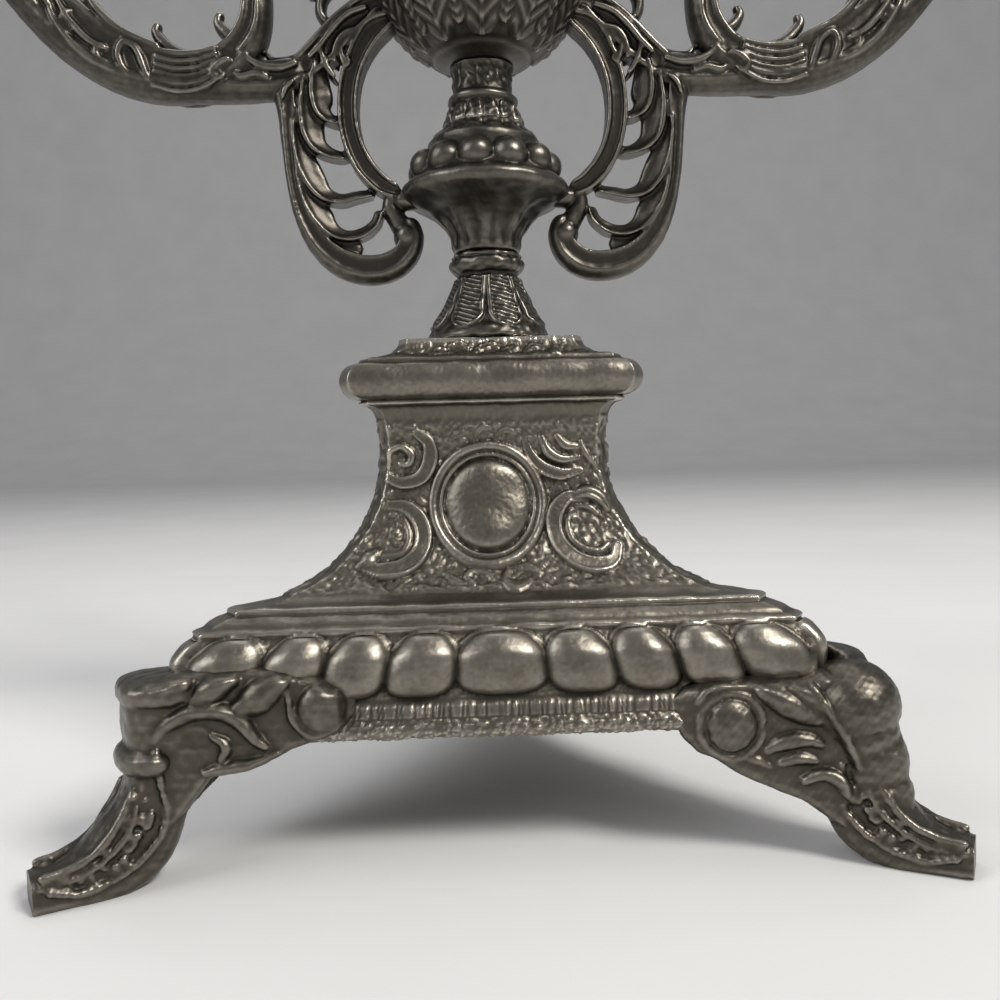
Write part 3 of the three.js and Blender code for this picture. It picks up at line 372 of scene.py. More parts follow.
def patina(name, hollow, ground, rubbed, gloss=(0.46, 0.35, 0.26), grain=0.2):
    """Cast metal under an old dark finish. Colours run from the hollows to the rubbed edges."""
    finish = Finish(name, Metallic=0.92)
    relief = finish.add("Attribute", attribute_name="relief").outputs["Fac"]
    # a fine break-up of the rubbed edges, and cloudy stains about 15 mm across
    speck = finish.texture("Noise", Scale=900.0, Detail=4.0, Roughness=0.65)
    stains = finish.texture("Noise", Scale=70.0, Detail=5.0, Roughness=0.6)
    level = finish.plus(finish.plus(relief, speck, 0.12), stains, 0.16)
    # with this shift the sum is about 0.5 on flat metal, less in a hollow and more on a ridge
    shift = finish.add("Math", operation="ADD")
    shift.inputs[1].default_value = 0.36
    finish.join(level, shift.inputs[0])
    level = shift.outputs[0]
    finish.ramp(level, "Base Color", (0.2, hollow), (0.5, ground), (0.88, rubbed))
    finish.ramp(level, "Roughness", *zip((0.2, 0.5, 0.85), gloss))
    # pits and sand grain
    pits = finish.texture("Noise", Scale=1500.0, Detail=5.0, Roughness=0.7)
    finish.bump(pits, grain, 0.0002)
    return finish.material


BROWNED = patina("browned_iron", (0.03, 0.026, 0.02), (0.145, 0.131, 0.106), (0.5, 0.465, 0.4),
                 (0.46, 0.35, 0.24), 0.3)
# a darker copy of the plinth's finish for the feet: painted shade, as they stand in less light
SHADED_FEET = patina("shaded_feet_iron", (0.026, 0.022, 0.017), (0.088, 0.079, 0.063), (0.38, 0.35, 0.3),
                    (0.46, 0.36, 0.25), 0.3)
BLACKENED = patina("blackened_iron", (0.018, 0.016, 0.013), (0.062, 0.056, 0.047),
                   (0.36, 0.335, 0.29))
print("finishes:", BROWNED.name, SHADED_FEET.name, BLACKENED.name)

# %% [markdown]
# ## High and low spots
# A duster only ever reaches what stands proud. Blender's Geometry node has a pointiness output for
# this, but it works in one renderer only and is lost on export. So we measure it on the mesh: a
# copy of the points is evened out again and again, and what a point has lost by that is its relief.

# %% Finish a piece
RELIEF_ROUNDS = 14


def read_rows(items, key, width=3, kind=float):
    """One property of all vertices or edges of a mesh, as rows of numbers."""
    values = np.empty(len(items) * width, kind)
    items.foreach_get(key, values)
    return values.reshape(-1, width)


def even_out(mesh, points, own, times):
    """Moves each point towards its neighbours' middle. `own` is the share of itself it keeps."""
    n = len(points)
    a, b = read_rows(mesh.edges, "vertices", 2, np.int64).T
    near = np.maximum(np.bincount(a, minlength=n) + np.bincount(b, minlength=n), 1)
    points = points.copy()
    for _ in range(times):
        for axis in range(3):
            value = points[:, axis].copy()
            total = np.bincount(a, value[b], n) + np.bincount(b, value[a], n)
            points[:, axis] = own * value + (1 - own) * total / near
    return points


def mark_relief(mesh):
    """Stores at each point how far it stands above its surroundings, in mm, as `relief`."""
    points = read_rows(mesh.vertices, "co") * MM
    level = even_out(mesh, points, 0.4, RELIEF_ROUNDS)
    relief = ((points - level) * read_rows(mesh.vertices, "normal")).sum(1)
    layer = mesh.attributes.new("relief", "FLOAT", "POINT")
    layer.data.foreach_set("value", relief.astype(np.float32))
    return relief


def finish_piece(piece, finish, node, body="candelabra"):
    """Smooth shading, patina, and the piece's place on its body instead of the CAD node."""
    mesh = piece.data
    mesh.polygons.foreach_set("use_smooth", np.ones(len(mesh.polygons), bool))
    relief = mark_relief(mesh)
    mesh.materials.append(finish)
    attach(piece, body)
    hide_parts(node)
    low, high = np.percentile(relief, [2, 98])
    print(f"{piece.name}: {len(mesh.polygons)} faces, relief {low:.2f} to {high:.2f} mm")


def blacken(piece, node, body="candelabra"):
    """The darkest of the three finishes, for the arms, the column and the lights."""
    finish_piece(piece, BLACKENED, node, body)


# %% [markdown]
# ## The plinth's outline
# The base is one hollow casting with three faces and three narrow canted corners. Seen in section
# it is a stack of mouldings: a rough fillet, a serrated strip, the bulging band, a thin rail, a
# long hollow sweep up to the waist, and a heavy rounded slab. We list that section once, walk it up
# the outside and back down the inside, and lay it round the three-sided plan.

# %% The section
WALL = 3


def quarter(steep_reach, flat_reach, steep_z, flat_z):
    """A quarter of an ellipse from its upright end to its flat end."""
    turn = np.linspace(0, math.pi / 2, 25)
    reach = steep_reach + (flat_reach - steep_reach) * (1 - np.cos(turn))
    return np.stack([reach, steep_z + (flat_z - steep_z) * np.sin(turn)], 1)


def plinth_section():
    """The outside of the section from the foot up, and its inside from the top down."""
    nose_turn = np.linspace(-0.5, 0.5, 17) * math.pi
    nose_z = SLAB_Z + 0.7 + 3.7 * (1 + np.sin(nose_turn))
    nose = np.stack([16.9 + 2.1 * np.cos(nose_turn), nose_z], 1)
    below = [[33.4, FOOT_HEIGHT], [36.6, FOOT_HEIGHT], [37.9, 24.4], [38.4, 25.4], [38.1, 26.6],
             [37.7, 27.2], [37.4, 27.8], [37.0, 29.2], [36.6, 30.4], [36.3, 31.2], [36.3, 31.8],
             [36.2, 38.6], [35.4, 41.6], [34.6, 43.0], [34.9, 43.3], [35.1, 43.8], [34.6, 44.3],
             [33.9, 44.5], [33.4, 45.4], [32.3, 46.2], [31.3, 46.6], [31.5, 46.9], [31.5, 47.5],
             [30.9, 47.8]]
    sweep = quarter(14.5, 30.2, WAIST_Z, RAIL_TOP + 0.2)[::-1]
    cove = quarter(14.5, 16.2, WAIST_Z, SLAB_Z - 0.6)[1:]
    lip = [[16.9, SLAB_Z - 0.4], [17.0, SLAB_Z + 0.3], [16.4, SLAB_Z + 0.6]]
    step = [[16.6, SLAB_TOP + 0.3], [16.7, SLAB_TOP + 0.9], [15.9, SLAB_TOP + 1.2]]
    roof = quarter(12.0, 15.6, COLUMN_Z, SLAB_TOP + 1.3)[::-1]
    neck = [[3.0, COLUMN_Z], [3.0, COLUMN_Z - 8], [11.5, COLUMN_Z - 8], [11.5, WAIST_Z - WALL]]
    inner_sweep = quarter(11.5, 27.2, WAIST_Z - WALL, RAIL_TOP - WALL)[1:]
    outside = np.vstack([below, sweep, cove, lip, nose, step, roof])
    return outside, np.vstack([neck, inner_sweep, [[33.4, BAND_TOP - WALL]]])


outside, inside = plinth_section()
section_out = outline(outside, 0.3, 2)
section_in = outline(inside, 2.5, 0)
print("section:", len(section_out), "points outside,", len(section_in), "inside")

# %% [markdown]
# ## Ornament on one face
# Each face carries an oval cartouche between four scrolls, on a matted ground. The scrolls were
# measured from the photograph as a few points each and redrawn as smooth carved strokes.

# %% Oval, scrolls and leaves
OVAL = (-1.4, WAIST_Z - 11.6)


def cartouche(u, z):
    """The oval on the plinth's face: two plain rings round a smooth boss."""
    outer = ring(u, z, OVAL, (11.1, 11.9), 1.15, 1.25)
    inner = ring(u, z, OVAL, (9.5, 10.2), 0.6, 0.85)
    # the boss is an oval whose crown runs upright, so that it catches the light in one stripe
    du, dz = off_centre(u, z, OVAL, (8.6, 9.3))
    boss = 2.5 * bulge((du**2 + dz**2) ** 2.5) * (1 - 0.5 * limit(du**2))
    return np.maximum(np.maximum(outer, inner), boss)


SCROLLS = [
    # lower left: a banded C that opens outwards and ends in a bulb
    ([[-21.8, 65.8, 0.9], [-18.2, 65.3, 1.5], [-15.4, 62.6, 1.9], [-14.5, 58.9, 2.0],
      [-15.7, 55.5, 2.0], [-18.7, 53.4, 1.8], [-22.4, 52.9, 1.6], [-25.8, 53.6, 1.1]], 1.4, "band"),
    ([[-18.9, 63.6, 0.5], [-17.7, 61.2, 0.7], [-17.4, 58.4, 0.8], [-18.7, 56.3, 0.8],
      [-21.2, 55.6, 0.7], [-23.9, 55.9, 0.5]], 0.8, "round"),
    ([[-27.2, 53.9, 1.0], [-25.4, 55.0, 1.8], [-24.0, 56.2, 1.1]], 1.5, "round"),
    # lower right: the same curve turned over, with a leaf along its head
    ([[18.8, 66.0, 0.9], [15.0, 66.4, 1.5], [12.5, 63.9, 1.9], [11.8, 60.1, 1.9], [13.0, 56.6, 1.9],
      [16.0, 53.9, 1.8], [19.8, 52.9, 1.7], [23.3, 53.8, 1.4], [24.4, 56.4, 1.1]], 1.4, "band"),
    ([[15.4, 63.6, 0.5], [14.6, 60.8, 0.7], [15.4, 57.9, 0.8], [17.9, 56.1, 0.8], [20.8, 55.7, 0.7],
      [22.4, 56.8, 0.6]], 0.8, "round"),
    ([[15.2, 66.2, 0.8], [18.8, 67.2, 1.7], [21.4, 66.0, 1.5], [22.8, 64.0, 0.9]], 1.5, "leaf"),
    ([[17.2, 64.6, 0.5], [19.2, 64.1, 0.8], [20.8, 62.9, 0.5]], 0.9, "round"),
    # upper left: a spiral inside a thick hook
    ([[-22.6, 72.0, 0.8], [-19.0, 70.2, 1.4], [-14.9, 71.1, 1.7], [-12.9, 74.6, 1.8],
      [-13.2, 78.2, 1.5], [-15.4, 80.2, 1.0]], 1.4, "band"),
    ([[-21.6, 73.6, 0.7], [-21.0, 76.4, 0.9], [-18.8, 77.5, 1.0], [-16.7, 75.9, 1.0],
      [-17.3, 73.9, 0.9], [-18.9, 73.9, 0.7]], 1.1, "round"),
    # upper right: a comma leaf with three lobes
    ([[6.4, 78.4, 0.6], [7.6, 75.0, 1.2], [10.0, 72.4, 1.5], [13.6, 71.1, 1.4],
      [17.4, 71.7, 0.8]], 1.4, "band"),
    ([[9.8, 78.6, 0.7], [11.2, 75.6, 1.3], [14.0, 74.1, 1.1], [17.2, 74.5, 0.6]], 1.3, "leaf"),
    ([[13.0, 78.8, 0.7], [14.8, 76.9, 1.1], [17.6, 76.6, 0.6]], 1.1, "leaf"),
    ([[17.8, 77.6, 0.5], [19.2, 74.6, 0.8], [21.0, 72.2, 0.5]], 0.9, "round"),
    # over and under the oval
    ([[-8.8, 78.8, 0.6], [-6.8, 80.0, 1.0], [-4.6, 79.9, 0.6]], 0.5, "leaf"),
    ([[-3.6, 79.2, 0.5], [-2.4, 80.8, 0.9], [-0.6, 81.0, 0.6]], 0.5, "leaf"),
    ([[0.6, 79.2, 0.5], [2.4, 80.4, 0.9], [4.4, 79.8, 0.6]], 0.5, "leaf"),
    ([[-4.6, 50.2, 0.6], [-6.0, 51.4, 0.8], [-4.8, 52.4, 0.9], [-2.0, 51.9, 0.8],
      [-1.0, 50.8, 0.6]], 0.8, "round"),
    ([[2.2, 52.2, 0.8], [1.6, 50.4, 1.0], [3.8, 49.6, 0.9], [6.4, 50.4, 0.7]], 0.8, "round"),
    ([[3.8, 52.8, 0.6], [6.2, 52.8, 1.0], [8.8, 51.8, 0.5]], 0.7, "leaf"),
    ([[-10.4, 52.2, 0.5], [-8.6, 50.8, 0.9], [-6.4, 50.3, 0.5]], 0.7, "leaf"),
]
print(len(SCROLLS), "strokes round the oval")

# %% [markdown]
# ## Gadroons, serrations and mouldings
# Gadroons are the row of swollen lobes that shows a thick casting at its best. Each is a pillow
# with a raised lip round its upper edge. Under them runs a strip of small upright cuts that the
# mould filled badly in places. We keep those flaws, because they make cast metal look cast.

# %% Gadroon band
GADROON_WIDTHS = [16.8, 12.8, 11.6, 11.4, 13.6]
GADROON_LEAN = [0, 0.2, 0.28, 0.36, 0.46]
GADROON_Z = 36.4  # height of the lobes' middle
CUT_PITCH = 1.12


def gadroons(u, z, seed):
    """The nine pillows of a face: arched above, fuller below, with a fine lip round the top."""
    height = np.zeros(u.shape)
    edge = -GADROON_WIDTHS[0] / 2
    chance = np.random.default_rng(seed)
    for i, (width, lean) in enumerate(zip(GADROON_WIDTHS, GADROON_LEAN)):
        middle = edge + width / 2
        edge += width
        for side in (1,) if i == 0 else (1, -1):
            # the lobes lean in towards the middle of the face, the outer ones most
            centre_u = side * (middle - lean * (z - GADROON_Z)) + chance.normal(0, 0.15)
            centre_z = GADROON_Z + chance.normal(0, 0.1)
            above = z > centre_z
            du = np.abs(u - centre_u) / (width / 2 + 0.35)
            dz = np.where(above, (z - centre_z) / 6.8, (centre_z - z) / 5.0)
            power = np.where(above, 2.15, 2.9)
            away = (du**power + dz**power) ** (1 / power)
            pillow = (3.1 + chance.normal(0, 0.1)) * limit(1 - away**2.4) ** 0.62
            lip = 0.6 * bulge(((away - 1.02) / 0.06) ** 2) * (z > centre_z - 1.0)
            height = np.maximum(height, np.maximum(pillow, lip))
    return height


def serrations(u, z):
    """Upright cuts about 1.1 mm apart in the strip under the band, some of them clogged."""
    beat = u + 0.25 * np.sin(u * 1.7)
    cut = 0.5 + 0.5 * np.cos(beat * 2 * math.pi / CUT_PITCH)
    clogged = scatter(np.floor(beat / CUT_PITCH), 0 * u, 3) > 0.8
    strip = limit((z - 27.7) / 0.4) * limit((30.6 - z) / 0.8)
    return strip * np.where(clogged, 0.3, 0.42 * cut)


def face_relief(u, z, s, seed):
    """All the relief of one face: u across it, z up, s along the section."""
    carved = cartouche(u, z)
    for knots, rise, section in SCROLLS:
        carved = np.maximum(carved, ridge(u, z, knots, rise, section))
    panel = limit((z - 49.0) / 0.6) * limit((83.0 - z) / 1.5)
    ground = (0.36 * mottle(u, s, 0.75, seed) + 0.3 * mottle(u, s, 1.5, seed + 3)) * panel
    height = np.where(carved > 0.05, carved + 0.25 * ground * (carved < 0.5), ground)
    height = height + gadroons(u, z, seed) + serrations(u, z) + 0.07 * mottle(u, s, 0.6, seed + 21)
    fillet = (z < 27.6) & (z > 24.2)
    gaps = (z > 31.3) & (z < 43.0) & (height < 0.25)
    roof = (z > SLAB_TOP + 1.4) & (z < COLUMN_Z - 0.3)
    height = height + 0.3 * matting(u, s, 0.8, seed + 7, 0.7) * fillet
    height = height + 0.15 * matting(u, s, 0.9, seed + 11) * gaps
    return height + 0.22 * matting(u, s, 1.7, seed + 17, 0.6) * roof


print("gadroons on a face:", 2 * len(GADROON_WIDTHS) - 1)

# %% [markdown]
# ## Leaves on the roof
# A row of small leaves lies on the sloping top of the slab, half sunk in its rough ground. They
# could be separate meshes set on the slope. The same carved strokes do it in the plinth's own grid.

# %% Leaves on the roof of the slab
ROOF_LEAVES = [
    [[-12.4, 96.0, 0.5], [-10.2, 96.9, 0.9], [-8.6, 96.4, 0.6]],
    [[-8.6, 97.6, 0.5], [-6.6, 98.2, 0.9], [-4.8, 97.4, 0.7], [-5.0, 96.4, 0.5]],
    [[-3.4, 96.2, 0.5], [-1.6, 97.4, 0.9], [0.4, 97.9, 0.8], [2.0, 97.2, 0.5]],
    [[1.4, 96.0, 0.5], [3.4, 96.5, 0.9], [5.4, 97.4, 0.7], [5.2, 98.4, 0.5]],
    [[7.0, 96.2, 0.5], [8.6, 97.2, 0.9], [10.8, 97.0, 0.7]],
    [[11.6, 96.4, 0.5], [13.2, 95.9, 0.8], [14.4, 96.2, 0.5]],
]
ROOF_LEAF_RISE = 0.5
print(len(ROOF_LEAVES), "leaves on each side of the roof")

# %% [markdown]
# ## Wrap the section round the plan
# Every point of the section becomes a ring of three faces and three canted corners. The relief is
# then pushed out along the surface's own normals, so that pillows swell square to the metal.

# %% The three-sided plan
SHARPNESS = math.tan(math.pi / 3)
FACE_COLUMNS = 300
CANT_COLUMNS = 16
THIRD = FACE_COLUMNS + CANT_COLUMNS


def plan_ring(reach, cant):
    """One level of the plan, and u, the distance from the middle of the nearest face."""
    half = reach * SHARPNESS - cant
    u = np.linspace(-half, half, FACE_COLUMNS)
    face = np.stack([u, np.full_like(u, -reach)], 1)
    turn = math.radians(120)
    spun = np.array([[math.cos(turn), math.sin(turn)], [-math.sin(turn), math.cos(turn)]])
    start, end = face[-1], face[0] @ spun
    t = np.linspace(0, 1, CANT_COLUMNS + 2)[1:-1, None]
    third = np.vstack([face, start + (end - start) * t])
    return np.vstack([third, third @ spun, third @ spun @ spun]), u


def plinth_levels():
    """Every level of the section laid round the plan, and u along its first face."""
    points, sideways = [], []
    for k, (reach, z) in enumerate(np.vstack([section_out, section_in])):
        cant = 3 + 0.07 * reach if k < len(section_out) else (3 + 0.07 * reach) / 2
        if reach < 5:
            cant = reach * SHARPNESS * 0.6
        level, u = plan_ring(reach, cant)
        points.append(np.column_stack([level, np.full(len(level), z)]))
        sideways.append(u)
    return np.array(points), np.array(sideways)


levels, sideways = plinth_levels()
print("plinth grid:", levels.shape[0], "levels of", levels.shape[1], "points")


# %% Carve the plinth
def corner_relief(z, s, seed):
    """A canted corner: a half gadroon in the band, scales on the sweep."""
    t = np.linspace(-1, 1, CANT_COLUMNS + 2)[1:-1][None, :]
    lobe = 2.6 * bulge(np.abs(t) ** 2.6) * bulge(((z - 37.4) / 5.9) ** 2)
    scales = 0.5 * mottle(t * 2.4 + 50, s, 1.2, seed)
    return lobe + scales * ((z > 49) & (z < 83))


def carve_plinth(points, sideways):
    """Pushes the relief of the three faces and corners out of the outside levels."""
    rows = len(section_out)
    skin = points[:rows]
    side = np.roll(skin, -1, 1) - np.roll(skin, 1, 1)
    normal = unit(np.cross(side, np.gradient(skin, axis=0)))
    s = np.repeat(walked(section_out)[:, None], FACE_COLUMNS, 1)
    # these are views of the first face, so the other two are laid out on its carved heights and
    # come out a little different from it, as three hand-finished faces do
    u, z = sideways[:rows], skin[:, :FACE_COLUMNS, 2]
    corner_z = skin[:, FACE_COLUMNS:THIRD, 2]
    for k in range(3):
        face = face_relief(u, z, s, 11 + k)
        for knots in ROOF_LEAVES:
            face += ridge(u, z, knots, ROOF_LEAF_RISE, "leaf")
        relief = np.hstack([face, corner_relief(corner_z, s[:, :CANT_COLUMNS], 30 + k)])
        part = slice(k * THIRD, (k + 1) * THIRD)
        relief += 0.12 * wobble(skin[:, part], 9, 40 + k)
        skin[:, part] += normal[:, part] * relief[..., None]
    points[0, :, 2] = FOOT_HEIGHT
    return make_mesh("plinth", points, grid_faces(len(points), 3 * THIRD, close_rows=True))


finish_piece(carve_plinth(levels, sideways), BROWNED, "base_shell")

# %% [markdown]
# ## Pierced arms
# The arms are the showpiece of the casting: S-scrolls with leaves on the front and back, and a
# bracket whose ribs fan out like the blades of a shell. A pattern maker would glue carved strips
# together and blend the joints with filler. We sweep strips along curves, let a voxel remesh melt
# them into one skin, and smooth it a little, which leaves the same soft, filled corners.

# %% Sweeping a carved strip
def mirrored(half_section):
    """A whole section from its back half: [across, deep] points, the outer edge first."""
    half_section = np.asarray(half_section, float)
    front = half_section[::-1][1:-1] * (1, -1)
    return np.vstack([half_section, front])


def circle(count):
    """Evenly spaced angles all the way round."""
    return np.linspace(0, 2 * math.pi, count, False)


SECTIONS = {
    "round": np.stack([np.cos(circle(20)), np.sin(circle(20))], 1),
    # a flat field between two rims
    "bar": mirrored([[1, 0], [1, 0.8], [0.9, 0.97], [0.76, 1], [0.62, 0.93], [0.5, 0.68],
                     [-0.5, 0.68], [-0.62, 0.93], [-0.76, 1], [-0.9, 0.97], [-1, 0.8], [-1, 0]]),
    # an ornamented front over a smooth round underside
    "arm": mirrored([[1, 0], [0.97, 0.32], [0.86, 0.6], [0.64, 0.84], [0.42, 0.97], [0.3, 1],
                     [0.18, 0.95], [0.08, 0.86], [-0.62, 0.86], [-0.74, 0.92], [-0.88, 0.98],
                     [-0.97, 0.86], [-1, 0.6], [-1, 0]]),
    # a shell blade: a sharp lip on the outside that slopes back to the opening
    "blade": mirrored([[0.1, 0], [0.1, 0.84], [0, 0.98], [-0.16, 1], [-0.34, 0.9], [-0.6, 0.7],
                       [-1.2, 0.48], [-1.8, 0.34], [-2, 0.2], [-2, 0]]),
    # a foot's leg: a rolled front, a hollow behind it and a keel
    "leg": mirrored([[1, 0], [1, 0.5], [0.86, 0.8], [0.62, 0.97], [0.46, 1.0], [0.3, 0.94],
                     [-0.5, 0.86], [-0.7, 0.9], [-0.86, 0.76], [-0.97, 0.4], [-1, 0]]),
}


def rounded_ends(way, thick):
    """The share of its full size that a bar has along its way, so that its ends are rounded."""
    from_end = np.minimum(way, way[-1] - way)
    return np.maximum(np.sqrt(1 - (1 - limit(from_end / np.maximum(thick, 0.05))) ** 2), 0.12)


def swept(knots, section="round", spacing=0.5):
    """A strip bent through [x, z, half thickness, half depth, y] knots, its ends rounded."""
    line = smooth_curve(knots, spacing)
    level = 0 * line[:, 0]
    centre = np.column_stack([line[:, 0], line[:, 4] if line.shape[1] > 4 else level, line[:, 1]])
    along = unit(np.gradient(line[:, :2], axis=0))
    side = np.column_stack([along[:, 1], level, -along[:, 0]])
    full = rounded_ends(walked(line[:, :2]), line[:, 2])
    shape = SECTIONS[section]
    thick = (line[:, 2] * full)[:, None, None]
    points = centre[:, None] + side[:, None] * (shape[None, :, 0:1] * thick)
    points[:, :, 1] += shape[None, :, 1] * (line[:, 3] * full)[:, None]
    return points.reshape(-1, 3), shell_faces(len(line), len(shape))


def ball(centre, radii, around=60, up=32, power=2.0):
    """A closed ellipsoid, squarer with a higher power."""
    turn = circle(around)
    rise = np.linspace(-0.97, 0.97, up) * math.pi / 2
    x = np.cos(rise)[:, None] * np.cos(turn)
    y = np.cos(rise)[:, None] * np.sin(turn)
    z = np.repeat(np.sin(rise)[:, None], around, 1)
    points = np.stack([x, y, z], -1).reshape(-1, 3)
    points /= (np.abs(points) ** power).sum(1, keepdims=True) ** (1 / power)
    return points * radii + centre, shell_faces(up, around)


def both_faces(knots, deep, thick=0.55):
    """A raised line on the front and the back. A knot is [x, z] or [x, z, half width]."""
    rows = [(*k, thick)[:3] for k in knots]
    return [swept([[x, z, half, half * 1.1, face * deep] for x, z, half in rows], "round", 0.35)
            for face in (-1, 1)]


print("sections:", {name: len(shape) for name, shape in SECTIONS.items()})

# %% [markdown]
# ## Melting strips into one casting
# The strips cross and pierce each other. A boolean union would leave hard creases where they meet,
# and real castings have none. A voxel remesh wraps them all in one skin. It leaves tiny steps, so
# we even the skin out a little and then roughen it by a few hundredths of a millimetre, like sand.

# %% Melt the strips
VOXEL = 0.3


def gather(parts):
    """Several loose shells as one list of points and faces."""
    points, faces, start = [], [], 0
    for p, f in parts:
        points.append(p)
        faces.append(f + start)
        start += len(p)
    return np.vstack(points), np.vstack(faces)


def set_points(mesh, points):
    """Moves all vertices of a mesh to new places, in metres."""
    mesh.vertices.foreach_set("co", points.astype(np.float32).ravel())
    mesh.update()


def melt(name, parts, polish, seed, sand):
    """Joins loose shells into one skin with soft corners and a faint sand-cast unevenness."""
    rough = make_mesh(name + "_strips", *gather(parts))
    remesh = rough.modifiers.new("melt", "REMESH")
    remesh.mode = "VOXEL"
    remesh.voxel_size = VOXEL / MM
    depsgraph = bpy.context.evaluated_depsgraph_get()
    mesh = bpy.data.meshes.new_from_object(rough.evaluated_get(depsgraph))
    bpy.data.objects.remove(rough)
    points = even_out(mesh, read_rows(mesh.vertices, "co"), 0.45, polish)
    set_points(mesh, points)
    sandy = wobble(points * MM, 3.5, seed) + 0.6 * wobble(points * MM, 1.6, seed + 1)
    set_points(mesh, points + read_rows(mesh.vertices, "normal") * sandy[:, None] * sand / MM)
    return into_scene(name, mesh)


def turned_copy(piece, name, degrees):
    """The same casting again, turned about the column's axis."""
    mesh = piece.data.copy()
    at = Matrix.Translation((0, AXIS_Y / MM, 0))
    mesh.transform(at @ Matrix.Rotation(math.radians(degrees), 4, "Z") @ at.inverted())
    return into_scene(name, mesh)


# %% [markdown]
# ## The strips of one arm
# All the lines below are in mm: x out from the axis and z up. The body comes first, then the fan of
# blades, then the raised lines that catch the light. The photograph shows them up to a height of
# about 171 mm. Above that the scrolls are carried on in the same manner.

# %% Body of the arm
ARM_BODY = [
    ("arm", [[61.2, 179.9, 1.4, 1.7], [66.3, 183.3, 1.7, 2.0], [65.0, 190.1, 2.0, 2.4],
             [57.0, 192.2, 2.2, 2.8], [49.3, 185.8, 2.4, 3.2], [46.8, 175.6, 2.7, 3.5],
             [48.3, 164.8, 3.2, 4.0], [54.4, 158.2, 4.2, 4.6], [64.6, 156.5, 5.0, 5.0],
             [74.8, 158.8, 5.4, 5.1], [84.2, 164.9, 5.8, 5.1], [92.2, 173.1, 5.8, 4.9],
             [99.9, 182.4, 4.9, 4.4], [106.2, 193.5, 4.0, 4.1], [109.0, 204.0, 4.4, 4.3]]),
    ("arm", [[37.0, 157.6, 3.0, 3.3], [41.6, 156.0, 3.6, 3.5], [47.5, 155.6, 3.9, 3.8],
             [55.0, 155.9, 4.3, 4.3], [62.0, 156.4, 4.6, 4.7], [69.0, 157.6, 4.7, 4.8]]),
    # the outer loop, from the knop round to the neck
    ("arm", [[17.6, 126.6, 2.4, 2.9], [15.9, 122.6, 2.5, 3.1], [17.6, 118.4, 2.8, 3.2],
             [21.4, 116.0, 3.0, 3.2], [26.2, 115.6, 3.1, 3.2], [31.6, 117.4, 2.9, 3.2],
             [36.0, 121.4, 2.4, 3.1], [39.2, 127.4, 1.8, 3.0], [40.9, 134.6, 1.5, 2.9],
             [41.5, 142.0, 1.6, 2.9], [41.7, 149.0, 2.1, 3.0], [42.4, 155.0, 2.7, 3.0]]),
    # the flat inner bar
    ("bar", [[18.2, 131.7, 1.5, 2.8], [21.6, 133.2, 2.0, 3.0], [25.0, 136.6, 2.2, 3.0],
             [27.2, 140.6, 2.2, 3.0], [28.4, 145.0, 2.2, 3.0], [28.7, 150.0, 2.2, 3.0],
             [28.0, 155.5, 2.2, 3.0], [26.2, 160.5, 2.3, 3.0], [23.4, 165.0, 2.6, 3.1],
             [19.0, 169.6, 3.0, 3.2]]),
    # the leafy shoulder
    ("bar", [[18.0, 171.6, 3.0, 3.2], [24.0, 170.0, 3.0, 3.2], [29.0, 166.4, 3.2, 3.1],
             [32.8, 162.6, 3.3, 3.0], [36.6, 159.2, 3.0, 2.9], [41.0, 156.0, 2.4, 2.8]]),
    # where everything meets the knop
    ("round", [[19.4, 132.0, 1.6, 2.5], [20.4, 129.2, 1.9, 2.5], [19.0, 126.2, 2.2, 2.6],
               [17.0, 123.4, 2.6, 3.0]]),
    ("round", [[12.6, 131.0, 2.4, 2.6], [17.0, 130.4, 2.2, 2.6], [20.0, 130.4, 1.8, 2.4]]),
    # thin web in the bottom of the loop
    ("round", [[36.6, 125.0, 1.0, 1.3], [33.6, 121.8, 1.7, 1.3], [30.0, 120.4, 1.9, 1.3],
               [26.4, 120.4, 1.6, 1.2]]),
]

ARM_BLADES = [
    [[30.0, 146.0, 0.7, 2.5], [33.2, 146.8, 0.9, 2.8], [35.4, 148.6, 1.3, 3.1],
     [36.4, 151.8, 1.6, 3.2], [36.3, 155.6, 1.4, 3.2], [35.2, 160.2, 0.8, 3.0]],
    [[29.0, 138.8, 0.7, 2.5], [32.8, 139.2, 0.9, 2.8], [36.3, 140.9, 1.3, 3.1],
     [38.2, 143.8, 1.6, 3.2], [38.9, 147.4, 1.7, 3.3], [38.7, 151.6, 1.3, 3.3],
     [37.6, 157.4, 0.8, 3.0]],
    [[23.6, 131.2, 0.6, 2.5], [27.1, 130.4, 0.8, 2.7], [30.9, 129.6, 0.9, 2.9],
     [34.8, 130.5, 1.2, 3.1], [37.9, 133.5, 1.6, 3.2], [39.6, 137.2, 1.6, 3.3],
     [40.4, 141.6, 1.2, 3.3], [40.6, 148.0, 0.7, 3.1]],
    [[21.8, 128.4, 0.7, 2.5], [22.9, 125.0, 0.8, 2.7], [26.2, 122.4, 0.9, 2.9],
     [29.8, 121.8, 0.9, 3.0], [33.2, 122.8, 1.1, 3.1], [36.4, 125.5, 1.6, 3.2],
     [38.6, 129.4, 1.5, 3.3], [39.7, 134.0, 1.1, 3.3], [40.4, 140.0, 0.6, 3.1]],
]
print(len(ARM_BODY), "strips in the body,", len(ARM_BLADES), "blades in the fan")

# %% [markdown]
# ## Leaves and raised lines of the arm
# On the real arm the leafage stands out from the body and its edges are rubbed bright. The loose
# tips are short strips. The raised lines are laid on the front and on the back alike, because both
# sides of such an arm are seen, and only a thin line catches the light as a carved edge does.

